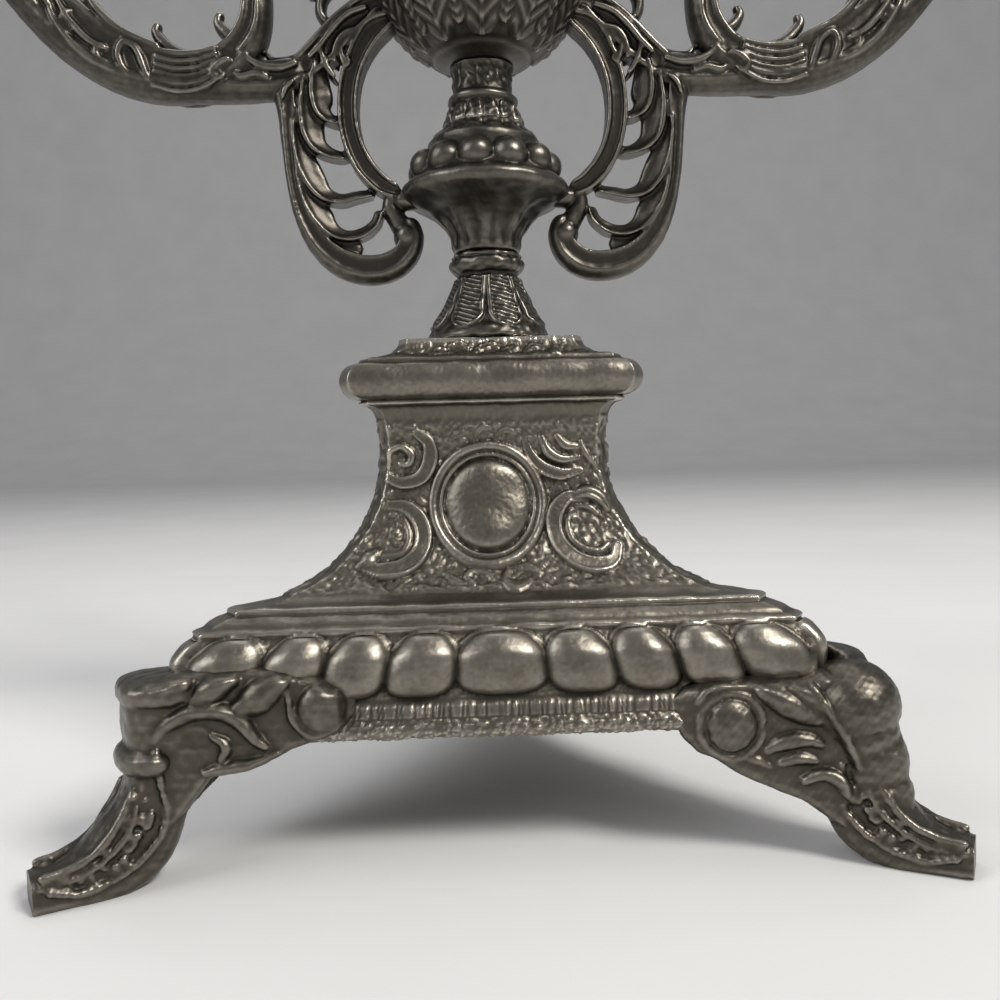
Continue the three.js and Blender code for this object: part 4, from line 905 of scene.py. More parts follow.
# %% Leaves and raised lines
ARM_LEAVES = [
    # tips that curl into the candle scroll
    [[58.0, 160.2, 1.4, 2.4], [63.4, 161.4, 1.6, 2.4], [67.0, 163.8, 1.4, 2.1],
     [68.7, 166.6, 1.1, 1.7], [67.8, 168.4, 0.8, 1.3]],
    [[50.0, 164.0, 1.4, 2.4], [53.6, 165.6, 1.5, 2.2], [55.6, 168.4, 1.1, 1.7],
     [54.6, 170.4, 0.8, 1.3]],
    [[84.0, 171.0, 1.4, 2.2], [83.4, 175.2, 1.4, 2.0], [85.4, 178.8, 0.9, 1.4]],
    [[94.0, 183.0, 1.4, 2.2], [92.6, 187.6, 1.3, 1.9], [94.4, 191.2, 0.8, 1.3]],
    [[48.0, 183.0, 1.4, 2.2], [44.2, 186.6, 1.3, 1.9], [44.6, 190.4, 0.8, 1.3]],
    [[57.0, 190.0, 1.4, 2.2], [56.0, 187.0, 1.2, 1.8], [57.6, 184.4, 0.8, 1.3]],
    # leaf tips on the neck
    [[38.4, 160.6, 1.0, 2.4], [41.4, 159.8, 1.1, 2.4], [44.2, 160.0, 0.9, 2.0],
     [46.0, 162.2, 0.5, 1.2]],
    [[41.4, 155.0, 1.4, 3.3], [42.4, 152.4, 1.1, 3.0], [43.4, 149.8, 0.5, 2.0]],
    # curls that hang over the shoulder
    [[31.6, 166.4, 1.0, 2.2], [33.8, 169.6, 1.2, 2.4], [33.0, 173.4, 1.3, 2.4],
     [29.6, 175.2, 1.3, 2.4], [26.0, 173.6, 1.3, 2.4], [25.2, 170.0, 1.3, 2.4]],
    [[20.0, 172.0, 1.6, 2.6], [24.4, 176.0, 1.8, 2.6], [30.4, 177.6, 1.6, 2.4],
     [35.0, 175.6, 1.1, 1.8], [36.0, 172.4, 0.7, 1.3]],
]

ARM_LINES = [
    # shoulder: nested leaf edges
    (3.1, [[23.6, 170.0, 0.6], [28.0, 168.4, 0.7], [31.3, 165.4, 0.7], [33.8, 162.4, 0.7],
           [36.6, 159.6, 0.6]]),
    (2.5, [[25.8, 165.8, 0.5], [29.0, 164.6, 0.7], [30.9, 161.6, 0.6], [31.0, 158.6, 0.4]]),
    (2.5, [[33.6, 163.4, 0.4], [33.6, 160.2, 0.6], [32.2, 157.2, 0.7], [30.9, 155.6, 0.4]]),
    (2.5, [[29.4, 163.4, 0.4], [29.6, 160.6, 0.6], [28.6, 158.2, 0.6], [27.6, 159.6, 0.4]]),
    # neck
    (3.6, [[38.4, 158.6, 0.5], [42.6, 157.4, 0.8], [47.0, 158.2, 0.8], [50.4, 161.0, 0.5]]),
    (3.5, [[44.6, 155.6, 0.5], [47.6, 156.4, 0.8], [50.6, 155.8, 0.8], [52.6, 157.2, 0.5]]),
    (3.5, [[39.4, 155.2, 0.4], [41.4, 153.2, 0.6], [42.2, 150.8, 0.3]]),
    # left end of the grooved field, then the upright leaf at its right end
    (4.5, [[52.2, 159.4, 0.5], [54.4, 158.4, 0.8], [56.2, 156.6, 0.7], [55.2, 155.2, 0.6],
           [53.6, 156.0, 0.4]]),
    (4.6, [[69.4, 154.6, 0.6], [70.4, 158.0, 0.8], [72.0, 161.6, 0.8], [74.2, 162.8, 0.8],
           [75.4, 160.6, 0.8], [74.6, 157.8, 0.7], [73.2, 155.8, 0.5]]),
    (4.6, [[66.8, 161.8, 0.5], [70.4, 163.2, 0.7], [75.4, 165.8, 0.8], [79.8, 170.2, 0.8],
           [82.6, 175.0, 0.5]]),
    (4.6, [[76.0, 156.8, 0.5], [80.0, 158.8, 0.8], [84.6, 162.6, 0.9], [88.0, 167.6, 0.8],
           [89.6, 171.6, 0.4]]),
    (4.7, [[77.6, 161.4, 0.5], [81.2, 163.2, 0.8], [85.2, 167.6, 0.8], [87.8, 172.6, 0.5]]),
    (4.6, [[77.4, 158.6, 0.5], [79.4, 159.6, 0.7], [79.8, 161.8, 0.6], [78.0, 162.6, 0.4]]),
    (4.6, [[84.2, 165.2, 0.5], [86.2, 166.2, 0.7], [86.4, 168.6, 0.6], [84.6, 169.4, 0.4]]),
    (4.6, [[88.6, 169.6, 0.6], [90.4, 173.4, 0.9], [90.0, 177.4, 0.8], [87.6, 178.0, 0.5]]),
    (4.5, [[91.6, 170.6, 0.5], [95.0, 174.6, 0.8], [98.6, 179.6, 0.8], [100.4, 184.0, 0.5]]),
    (4.4, [[92.0, 176.0, 0.5], [95.6, 180.6, 0.8], [98.6, 186.4, 0.6], [100.2, 190.6, 0.4]]),
    (4.1, [[99.6, 183.0, 0.5], [102.4, 186.6, 0.8], [102.6, 190.4, 0.7], [100.8, 191.6, 0.4]]),
    (4.0, [[103.2, 188.6, 0.5], [106.0, 194.0, 0.7], [107.6, 200.0, 0.5]]),
    # inner limb of the candle scroll
    (3.6, [[46.6, 172.0, 0.5], [47.0, 167.0, 0.7], [48.6, 163.4, 0.8], [51.0, 160.8, 0.5]]),
    (3.4, [[49.4, 173.0, 0.4], [50.2, 168.0, 0.6], [52.4, 164.2, 0.6], [55.6, 161.8, 0.4]]),
    (3.3, [[46.0, 184.0, 0.5], [45.2, 178.0, 0.7], [46.2, 172.6, 0.4]]),
    (3.0, [[50.0, 187.6, 0.5], [47.8, 182.0, 0.6], [48.2, 176.4, 0.4]]),
    (2.8, [[64.6, 188.6, 0.4], [58.4, 191.6, 0.6], [52.6, 188.6, 0.5]]),
]
print(len(ARM_LEAVES), "leaf tips,", len(ARM_LINES), "raised lines")

# %% [markdown]
# ## Cast the arms
# All strips of one arm go into the melting pot together. The other arm is the same casting turned
# half round, as a founder would pour it twice from one pattern.

# %% Build the arms
def grooved_field(count=6):
    """Fine parallel lines that follow the underside of the candle scroll."""
    low = np.array([[54.2, 155.6], [58.6, 153.3], [63.6, 152.7], [69.2, 154.2]])
    high = np.array([[55.0, 161.6], [59.4, 160.6], [64.0, 160.5], [68.0, 161.4]])
    parts = []
    for k in range(count):
        parts += both_faces((low + (high - low) * k / (count - 1)).tolist(), 4.5, 0.46)
    return parts


def build_arm():
    parts = [swept(knots, section) for section, knots in ARM_BODY]
    for knots in ARM_BLADES:
        parts.append(swept([[x, z, 1.4 * half, deep] for x, z, half, deep in knots], "blade"))
    parts += [swept(knots) for knots in ARM_LEAVES]
    parts += [ball((17.0, 0, 122.6), (3.0, 3.7, 3.0)), ball((109, 0, 204.6), (5.6, 5.6, 4.2))]
    for deep, knots in ARM_LINES:
        parts += both_faces(knots, deep)
    return melt("right_arm_casting", parts + grooved_field(), 3, 5, 0.03)


right_arm = build_arm()
left_arm = turned_copy(right_arm, "left_arm_casting", 180)
blacken(right_arm, "right_arm")
blacken(left_arm, "left_arm")

# %% [markdown]
# ## Three splayed feet
# Each foot is a separate casting screwed under a corner: a round boss and leaf lobes spread along
# both faces, a swollen knee stands at the corner, and a leafed leg runs out to a flat toe. The same
# melt as for the arms suits them. The pattern was worked by hand, so the two front feet differ a
# little in how their lobes and ridges lie, and we follow each as it is seen.

# %% Round bars in any direction
def tube(knots):
    """A round bar through [x, y, z, radius] knots, its ends rounded."""
    knots = np.asarray(knots, float)
    t = walked(knots[:, :3])
    at = np.linspace(0, t[-1], int(max(5, t[-1] / 0.4)))
    line = curve_through(knots, t, at)
    along = unit(np.gradient(line[:, :3], axis=0))
    first = unit(np.cross(along, [0.02, 1.0, 0.05]))
    second = np.cross(along, first)
    turn = circle(12)[None, :, None]
    thick = (line[:, 3] * rounded_ends(at, line[:, 3]))[:, None, None]
    rim = first[:, None] * np.cos(turn) + second[:, None] * np.sin(turn)
    points = line[:, None, :3] + thick * rim
    return points.reshape(-1, 3), shell_faces(len(line), 12)


def spin(part, degrees):
    """Turns a loose shell about the column's axis."""
    c, s = math.cos(math.radians(degrees)), math.sin(math.radians(degrees))
    return part[0] @ np.array([[c, s, 0], [-s, c, 0], [0, 0, 1]]), part[1]


def reflect(part, degrees):
    """Mirrors a loose shell in the upright plane that points that way from the axis."""
    c, s = math.cos(math.radians(2 * degrees)), math.sin(math.radians(2 * degrees))
    return part[0] @ np.array([[c, s, 0], [s, -c, 0], [0, 0, 1]]), part[1][:, ::-1]


def bead_row(knots, size, pitch):
    """Small beads along a line through [x, y, z] knots."""
    knots = np.asarray(knots, float)
    t = walked(knots)
    at = np.arange(0, t[-1], pitch)
    spots = np.stack([np.interp(at, t, knots[:, k]) for k in range(3)], 1)
    return [ball(spot, (size, size, size), 12, 8) for spot in spots]


def lump(x, y, z, radii):
    """A crumb of worn leafage."""
    return ball((x, y, z), radii, 10, 7)


# %% [markdown]
# ## Leg and toe
# A leafed leg runs out to a flat toe with a rim, a vein and a row of beads along each side. Years
# of wear have left a rough crumble between them. Each leaf could be modelled, but none is sharp on
# the real foot, so small lumps strewn by chance between the two edges give the truer surface.

# %% Leg and toe
TOE_TOP = ([79.6, 81.2, 84.6, 89.2, 93.6], [18.6, 13.6, 9, 6.8, 5.9])
TOE_EDGE = ([74, 78, 82.4, 88, 93], [9.6, 5.6, 3.4, 2.4, 3.8])


def leg_side(side):
    """Rim, vein, beaded edge and worn leafage of one side of the leg."""
    parts = []
    parts.append(tube([[78.2, side * 4.6, 18.6, 0.6], [80.8, side * 5.0, 13.6, 0.8],
                       [84.6, side * 4.8, 9.0, 0.8], [89.2, side * 4.4, 6.8, 0.8],
                       [94.2, side * 4.1, 6.1, 0.7]]))
    parts.append(tube([[77.8, side * 5.5, 16.0, 0.4], [79.4, side * 5.5, 11.4, 0.6],
                       [83.2, side * 5.1, 7.4, 0.6], [88.6, side * 4.7, 5.0, 0.5],
                       [92.4, side * 4.5, 4.6, 0.4]]))
    edge = [[73.8, side * 6.4, 18.4], [72.7, side * 6.2, 13.8], [74.2, side * 6.0, 9.6],
            [78.0, side * 5.8, 5.6], [82.4, side * 5.4, 3.4], [88.0, side * 5.1, 2.4],
            [93.0, side * 4.9, 3.8]]
    parts.append(tube([[*spot, 0.55] for spot in edge]))
    parts += bead_row(edge, 0.72, 1.3)
    chance = np.random.default_rng(61)
    for _ in range(16):
        t = chance.uniform(0, 1)
        x, z = 75.4 + 6.0 * t + chance.normal(0, 0.7), 14.4 - 9.4 * t + chance.normal(0, 0.9)
        parts.append(lump(x, side * (5.7 - 0.5 * t), z, (0.8, 0.7, 0.8)))
    for _ in range(40):
        x = chance.uniform(76.5, 94)
        low, top = np.interp(x, *TOE_EDGE), np.interp(x, *TOE_TOP)
        z, size = low + (top - low) * chance.uniform(0.05, 1), chance.uniform(0.4, 0.7)
        parts.append(lump(x, side * (5.6 - 0.06 * (x - 75)), z, (1.2 * size, 0.8 * size, size)))
    for _ in range(14):
        x = chance.uniform(82, 94)
        z = np.interp(x, *TOE_TOP) - 0.2
        parts.append(lump(x, side * chance.uniform(0.6, 3.6), z, (0.9, 0.6, 0.6)))
    return parts


def leg_parts():
    """The parts that lie on the foot's own line, drawn with the foot pointing along +X."""
    leg = [[72.0, 30.0, 7.0, 7.2], [72.6, 24.0, 6.2, 6.8], [73.2, 18.2, 5.7, 6.3],
           [74.9, 12.8, 6.2, 6.0], [78.2, 7.8, 7.1, 5.7], [83.4, 4.4, 6.0, 5.4],
           [89.4, 3.0, 3.8, 5.1], [94.0, 2.7, 3.2, 4.9], [98.0, 2.7, 3.1, 4.8]]
    return [swept(leg, "leg")] + leg_side(-1) + leg_side(1)


def smooth_knee():
    """The right foot's knee: one smooth swelling, and a second one at the ankle."""
    return [ball((74.2, 0, 27.9), (8.9, 8.9, 8.4)), ball((77.6, 0, 17.6), (6.8, 6.2, 8.6)),
            ball((75.4, 0, 22.6), (7.6, 7.2, 7.0)), ball((80.0, 0, 11.6), (5.3, 5.4, 6.4))]


def square_knee():
    """The left foot's knee: a square block with a rolled top, over a roll at the ankle."""
    parts = [ball((71.4, 0, 29.4), (7.3, 7.5, 6.8), power=3.6),
             ball((71.8, 0, 34.8), (7.6, 8.6, 2.9), power=3.0)]
    for side in (-1, 1):
        parts += bead_row([[74.6, side * 7.2, 25.0], [74.2, side * 6.8, 21.8],
                           [73.9, side * 6.4, 18.8]], 0.8, 1.2)
    parts.append(tube([[72.4, -7.0, 22.8, 1.7], [75.4, -6.3, 22.9, 2.4], [77.2, -3.4, 22.9, 2.7],
                       [77.6, 0, 22.9, 2.8], [77.2, 3.4, 22.9, 2.7], [75.4, 6.3, 22.9, 2.4],
                       [72.4, 7.0, 22.8, 1.7]]))
    return parts
print("shells in a leg:", len(leg_parts()))

# %% [markdown]
# ## The wings along the faces
# Two carved plates spread from each knee along the faces of the plinth, one deep with a round boss,
# the other arched. They are too broad to sweep as strips, so each is a plate with its own outline
# and its own carved strokes, and the chasing tools of the plinth serve here too.

# %% Carved plates
PLATE_BACK = 36.8  # distance of the plate's flat back from the axis
PLATE_ROWS = 96


def plate(lower, upper, ground, strokes, relief):
    """A carved plate against a face. lower and upper are [u, z] edges, ground is [u, depth]."""
    lower, upper, ground = (np.array(x, float) for x in (lower, upper, ground))
    u = np.arange(lower[0, 0], lower[-1, 0], 0.25)
    low, high = soften(np.interp(u, *lower.T), 6), soften(np.interp(u, *upper.T), 6)
    t = np.linspace(0, 1, PLATE_ROWS)
    sideways = np.repeat(u[:, None], PLATE_ROWS, 1)
    z = low[:, None] + (high - low)[:, None] * t
    edge = np.minimum(z - low[:, None], high[:, None] - z)
    edge = np.minimum(edge, (sideways - u[0]) * 1.2)
    rim = np.sqrt(1 - (1 - limit(edge / 1.7)) ** 2)
    height = relief(sideways, z)
    for knots, rise in strokes:
        height = np.maximum(height, ridge(sideways, z, knots, rise))
    front = PLATE_BACK + (np.interp(sideways, *ground.T) - PLATE_BACK + height) * rim
    shell = np.stack([sideways, -front, z], -1)
    behind = np.stack([sideways, 0 * z - PLATE_BACK, z], -1)[:, ::-1]
    return np.concatenate([shell, behind], 1).reshape(-1, 3), shell_faces(len(u), 2 * PLATE_ROWS)


def wing_right():
    """The deep wing at the right end of a face: a round boss, two lobes, a ridge under the knee."""
    def relief(u, z):
        boss = dome(u, z, (41.3, 25.5), (4.7, 4.9), 2.3)
        boss = np.maximum(boss, ring(u, z, (41.3, 25.4), (5.8, 6.0), 0.8, 0.6))
        boss = boss - 0.7 * dome(u, z, (51.5, 25.0), (5.0, 1.8), 1.0)
        return boss - 0.9 * dome(u, z, (58.6, 12.6), (3.4, 2.4), 1.0)

    strokes = [
        ([[35.2, 29.6, 0.6], [37.4, 32.4, 0.8], [42, 33.0, 0.8], [48, 32.7, 0.8], [54, 33.2, 0.9],
          [57.4, 35, 0.7]], 1.0),
        ([[46.8, 31.6, 1.5], [50.4, 29.8, 2.4], [53.4, 28.1, 2.3], [56.4, 26.6, 1.4]], 2.5),
        ([[52.2, 32.4, 1.2], [55.0, 30.6, 1.7], [58.0, 28.0, 1.2]], 2.3),
        ([[55.4, 32.6, 0.8], [58.0, 28.4, 1.1], [60.4, 24.4, 1.2], [63, 19.6, 1.2],
          [64.6, 15.2, 1.0], [66.4, 11.6, 0.8]], 2.7),
        ([[47.8, 20.8, 0.9], [50.8, 22.2, 1.5], [54.2, 22.7, 1.4], [57.0, 21.8, 0.8]], 1.4),
        ([[50.2, 18.4, 0.8], [53, 19.3, 1.2], [56.0, 18.8, 0.8]], 1.1),
        ([[54.2, 15.2, 1.0], [57, 16.5, 1.3], [59.6, 15.7, 1.4], [61.8, 13.1, 1.3],
          [64.0, 10.4, 1.0]], 1.8),
        ([[43.4, 19.6, 0.6], [46, 18.8, 0.9], [48.4, 17.6, 0.5]], 0.8),
    ]
    lower = [[31.0, 26.0], [33.0, 22.4], [36, 19.6], [38.5, 18.8], [43, 15.6], [49, 12.8],
             [55, 10.3], [60, 6.5], [65, 2.5], [67, 1.0]]
    upper = [[31.0, 30.0], [33.4, 32.0], [37, 33.2], [40, 33.6], [54, 33.8], [58, 34.8], [64, 33.0],
             [67, 30.0]]
    ground = [[31, 37.4], [35, 39.6], [38, 40.2], [48, 40.4], [56, 41.4], [61, 42.6], [67, 40.0]]
    return plate(lower, upper, ground, strokes, relief)


def wing_left():
    """The arched wing at the left end of a face, drawn mirrored: high lobes over an open arch."""
    def relief(u, z):
        boss = dome(u, z, (32.6, 31.0), (4.3, 4.5), 2.5)
        hollow = 2.2 * dome(u, z, (55.2, 24.6), (6.4, 5.2), 1.0)
        web = 2.0 * limit((19.5 - z) / 2.5) * limit((64 - u) / 4) * limit((u - 52) / 2)
        return boss - np.maximum(hollow, web)

    strokes = [
        ([[38.4, 34.0, 0.6], [37.6, 29.6, 0.9], [35.0, 26.6, 1.0], [31.6, 26.2, 1.0],
          [29.4, 28.2, 0.7]], 1.3),
        ([[29.4, 34.0, 0.5], [32, 35.8, 0.7], [36, 36.2, 0.6]], 0.7),
        ([[46.6, 31.6, 2.0], [43.4, 33.6, 3.0], [39.6, 36.2, 1.8]], 2.6),
        ([[54.4, 33.4, 1.5], [51.6, 35.2, 2.4], [48.4, 37.0, 1.6]], 2.4),
        ([[63.6, 34.4, 1.8], [60.2, 35.6, 2.5], [56.6, 36.6, 1.7]], 2.4),
        ([[64.2, 22.4, 1.3], [62.2, 26.2, 1.4], [59.4, 29.5, 1.5], [55.0, 31.4, 1.6],
          [50, 31.2, 1.6], [46.6, 29.0, 1.5], [44.4, 26.2, 1.2], [42.6, 24.6, 0.8]], 2.2),
        ([[59.4, 25.2, 0.5], [57.6, 27.6, 0.7], [54.6, 28.6, 0.7], [51.6, 27.2, 0.6]], 0.2),
        ([[53.6, 20.4, 0.7], [49.6, 21.0, 1.2], [45, 21.5, 1.2], [40.4, 23.0, 0.7]], 1.5),
        ([[52, 27, 0.7], [49.6, 25, 1.1], [50.4, 22.6, 0.9]], 1.3),
    ]
    lower = [[26.6, 29.0], [29, 26.4], [33, 24.8], [37, 23.6], [41, 21.8], [46, 19.4], [50, 18.8],
             [53, 18.6], [55, 16.0], [58.6, 11.4], [62.5, 6.4], [67, 2.4]]
    upper = [[26.6, 32.4], [29, 34.6], [33, 36.4], [37, 37.2], [41, 38.2], [58, 38.4], [63, 37.4],
             [67, 34.0]]
    ground = [[26.6, 37.4], [29.6, 39.6], [33, 40.2], [48, 40.4], [56, 41.2], [61, 42.2],
              [67, 40.0]]
    return plate(lower, upper, ground, strokes, relief)


deep_wing, arched_wing = wing_right(), wing_left()
print("points in the deep and the arched wing:", len(deep_wing[0]), len(arched_wing[0]))

# %% [markdown]
# ## Assemble the feet
# A foot is drawn pointing right and turned to its corner. The rear foot is a turned copy of the
# right one. The left one has the other knee, so it is built as a right foot and then mirrored.

# %% Build the three feet
FOOT_TURN = -30
TOE_REACH = 95.0


def flatten_ends(piece):
    """Files the foot flat where it stands on the table and square at the toe's end."""
    points = read_rows(piece.data.vertices, "co") * MM
    out = np.array([math.cos(math.radians(FOOT_TURN)), math.sin(math.radians(FOOT_TURN))])
    along = (points[:, :2] - (0, AXIS_Y)) @ out
    points[:, :2] -= np.clip(along - TOE_REACH, 0, None)[:, None] * out
    points[:, 2] = np.maximum(points[:, 2], 0)
    set_points(piece.data, points / MM)
    return piece


def build_foot(name, front_wing, other_wing, knee, seed):
    """A foot at the front right corner, which points 30 degrees below +X."""
    parts = [spin(part, FOOT_TURN) for part in leg_parts() + knee]
    parts += [front_wing, reflect(other_wing, FOOT_TURN)]
    return flatten_ends(melt(name, parts, 4, seed, 0.06))


def mirror_left(piece):
    """Mirrors a finished casting from the right to the left."""
    mesh = piece.data
    mesh.transform(Matrix.Scale(-1, 4, (1, 0, 0)))
    mesh.flip_normals()
    mesh.update()
    return piece


foot_right = build_foot("foot_front_right_casting", deep_wing, arched_wing, smooth_knee(), 21)
foot_rear = turned_copy(foot_right, "foot_rear_casting", 120)
foot_left = build_foot("foot_front_left_casting", arched_wing, deep_wing, square_knee(), 25)
mirror_left(foot_left)
# the feet take the darker copy of the finish, which is painted shade
for foot, node in ((foot_right, "foot_front_right"), (foot_rear, "foot_rear"),
                   (foot_left, "foot_front_left")):
    finish_piece(foot, SHADED_FEET, node)

# %% [markdown]
# ## The column of turned castings
# The column is a stack of short castings on one tie rod, each turned to a profile and then dressed
# with leaves, flutes and beads. A lathe modifier would give only the plain profile. Our grid runs
# round the axis, so the same carving formulas work on it, with u measured along the rim.

# %% Turned pieces with relief
BORE = 2.8


def about_axis(theta, z, r):
    """Places in space from an angle, a height and a distance from the axis."""
    return np.stack([r * np.cos(theta), r * np.sin(theta), z], -1)


def turned_shell(profile, relief, columns, step, x=0):
    """A turned shell round an upright axis at x. The relief is pushed out of its outside only."""
    outside = outline(profile["out"], step, 2)
    inside = outline(profile["in"], 1.2, 0)
    theta = circle(columns)[None, :]
    r, z = outside[:, 0:1] + 0 * theta, outside[:, 1:2] + 0 * theta
    slope = unit(np.gradient(outside, axis=0))
    push = relief(theta + 0 * z, z, r)
    push[:2] = push[-2:] = 0
    r, z = r + push * slope[:, 1:2], z - push * slope[:, 0:1]
    r = np.vstack([r, inside[:, 0:1] + 0 * theta])
    z = np.vstack([z, inside[:, 1:2] + 0 * theta])
    points = about_axis(theta + 0 * z, z, r) + (x, 0, 0)
    return points.reshape(-1, 3), grid_faces(len(r), columns, close_rows=True)


def bored(out):
    """Adds the tie rod's bore to an outside profile."""
    return {"out": [[BORE, out[0][1]], *out, [BORE, out[-1][1]]],
            "in": [[BORE, out[-1][1] - 0.2], [BORE, out[0][1] + 0.2]]}


def lifted(rows, low):
    """A profile drawn from 0 upwards, set at its real height."""
    return [[r, z + low] for r, z in rows]


def turned_casting(name, node, profile, relief, columns, step, x=0, body="candelabra"):
    """Turns and carves a casting, and finishes it in place of its CAD node."""
    blacken(make_mesh(name, *turned_shell(profile, relief, columns, step, x)), node, body)


# %% [markdown]
# ## Ornament that runs round
# Leaves, tongues, lobes, beads and a twisted cord repeat round the column. An array modifier bent
# round a circle could set them out one by one. A formula that finds the nearest of its equal parts
# does it for any radius, so a leaf narrows by itself where the casting does.

# %% Carving round the axis
def across(theta, r, count, shift=0.0):
    """Distance in mm, along the rim, from the middle of the nearest of `count` equal parts."""
    part = 2 * math.pi / count
    return (((theta - shift) / part) % 1 - 0.5) * part * r


def tongues(theta, z, r, count, low, high, half, rise, shift=0.0):
    """Upright tongues with a raised edge, a round foot and fine cross ribs inside."""
    a = across(theta, r, count, shift)
    t = (z - low) / (high - low)
    width = half * bulge((1 - limit(t / 0.26)) ** 2) * (1 - 0.42 * limit(t))
    edge = bulge(((np.abs(a) - width) / 0.62) ** 2)
    rungs = 0.5 + 0.28 * np.cos(2 * math.pi * (z + 0.3 * a) / 0.95)
    rungs = rungs * limit((width - np.abs(a)) / 0.5)
    return rise * limit(t / 0.03) * limit((1 - t) / 0.05) * np.maximum(edge, rungs)


def leaves(theta, z, r, count, low, high, half, rise, shift=0.0):
    """Pointed leaves with a raised middle rib and notched edges."""
    a = across(theta, r, count, shift)
    t = limit((z - low) / (high - low))
    notch = 1 + 0.16 * np.sin(t * 22)
    width = half * np.sin(math.pi * limit(t * 0.93 + 0.07)) ** 0.7 * notch + 1e-3
    body = bulge((a / width) ** 2)
    rib = bulge((a / 0.45) ** 2)
    veins = 0.22 * np.cos(2 * math.pi * (t * 6 - np.abs(a) * 0.35))
    live = (z > low) & (z < high)
    return rise * live * np.where(np.abs(a) < width, 0.6 * body + 0.3 * rib + veins * body, 0)


def lobes(theta, z, r, count, low, high, rise, shift=0.0):
    """A row of pillows round a turned piece."""
    a = np.abs(across(theta, r, count, shift)) / (math.pi * r / count)
    b = np.abs(z - (low + high) / 2) / ((high - low) / 2)
    return rise * bulge(a**2.6 + b**2.6)


def rope(theta, z, level, half, rise, count):
    """A twisted cord laid round the piece."""
    off = (z - level) / half
    return rise * bulge(off**2) * (0.78 + 0.22 * np.cos(theta * count + off * 1.6))


def beads(theta, z, r, count, level, size):
    """Half-round beads."""
    a = across(theta, r, count)
    return np.sqrt(np.clip(size**2 - a**2 - (z - level) ** 2, 0, None))


print("width of one of 14 leaves at 8 mm:", round(2 * math.pi * 8 / 14, 2), "mm")

# %% [markdown]
# ## Foot of the stem
# The lowest casting of the column flares out on to the plinth, wrapped in eight tongue-shaped
# leaves with fine ribs across them. Its top has a bulging ring under the knop.

# %% Foot of the stem
level = underside("stem_foot")
stem_profile = bored(lifted([
    [12.9, 0], [13.1, 0.6], [12.6, 1.7], [10.7, 4.3], [8.9, 7.6], [7.4, 10.6], [6.6, 12.6],
    [6.4, 13.8], [6.5, 14.2], [7.2, 14.5], [7.9, 15.2], [8.1, 16.1], [7.9, 16.9], [7.3, 17.3],
    [7.2, 17.5], [7.5, 17.7], [7.5, 18.1], [6.9, 18.4]], level))


def stem_relief(theta, z, r, low=level):
    body = tongues(theta, z, r, 8, low + 1.9, low + 13.6, 3.5, 0.75, -0.061)
    return body + 0.16 * wobble(about_axis(theta, z, r), 2.6, 3)


turned_casting("stem_foot_casting", "stem_foot", stem_profile, stem_relief, 400, 0.22)

# %% [markdown]
# ## Knop
# The knop is the swelling of the column: a fluted cup turned upside down, with a ring of twelve
# round beads that stand nearly free. Beads that deep can't be pushed out of a turned grid without
# tearing it, so here the turned shell and twelve balls are melted into one skin.

# %% Build the knop
level = underside("bead_knop")
knop_profile = bored(lifted([
    [6.9, 0], [7.2, 0.5], [7.1, 2.2], [7.4, 3.6], [8.3, 5.2], [9.7, 6.8], [11.8, 8.4], [14.4, 9.8],
    [16.6, 10.9], [17.7, 11.7], [18.1, 12.7], [18.0, 13.7], [17.3, 14.4], [16.2, 14.8],
    [15.2, 15.8], [14.3, 17.4], [13.6, 19.0], [12.9, 20.6], [12.2, 22.2], [11.9, 22.7],
    [12.0, 23.2], [11.5, 23.8], [10.3, 24.3], [8.9, 25.1], [8.3, 26.4]],
    level))


def knop_relief(theta, z, r, low=level):
    folds = 0.35 * np.cos(theta * 9 + 1.1) * limit((z - low - 2) / 3) * limit((low + 11 - z) / 3)
    flutes = 0.5 * np.abs(np.cos(theta * 8 + 0.4))
    folds += flutes * limit((z - low - 0.7) / 0.8) * limit((low + 8 - z) / 3)
    leaf_feet = lobes(theta, z, r, 14, low + 23.6, low + 31.2, 0.7, 0.2) * (z > low + 23.8)
    return folds + 0.12 * wobble(about_axis(theta, z, r), 5, 8) + leaf_feet


knop_parts = [turned_shell(knop_profile, knop_relief, 300, 0.3)]
for a in (np.arange(12) + 0.72) * math.pi / 6:
    spot = (12.9 * math.cos(a), 12.9 * math.sin(a), level + 17.7)
    knop_parts.append(ball(spot, (3.8, 3.8, 3.5), 24, 16))
blacken(melt("knop_casting", knop_parts, 2, 8, 0.03), "bead_knop")

# %% [markdown]
# ## Neck
# A short neck joins the knop to the urn. The leaf tips that hang over the knop belong to it, and a
# row of small lobes stands under the urn. They differ a little in height, as hand-carved ones do.

# %% Build the neck
level = underside("stem_neck")
neck_profile = bored(lifted([
    [8.2, 0], [8.1, 0.6], [7.7, 1.8], [7.3, 3.2], [6.9, 4.1], [6.9, 4.4], [7.3, 4.7], [7.6, 5.3],
    [7.4, 6.0], [6.8, 6.3], [6.5, 6.6], [6.2, 7.6], [6.1, 9.6], [6.3, 11.2], [6.8, 12.1],
    [7.0, 12.4]], level))


def neck_relief(theta, z, r, low=level):
    place = about_axis(theta, z, r)
    lower = lobes(theta, z, r, 14, low - 4.1, low + 4.4, 0.7, 0.2)
    lower = lower * (0.85 + 0.3 * wobble(place, 2.2, 4))
    upper = lobes(theta, z, r, 10, low + 6.9, low + 12.2, 0.3, 0.1)
    upper = upper * (0.8 + 0.5 * wobble(place, 1.8, 7))
    return lower + upper + 0.07 * wobble(place, 3, 6)


turned_casting("neck_casting", "stem_neck", neck_profile, neck_relief, 340, 0.24)

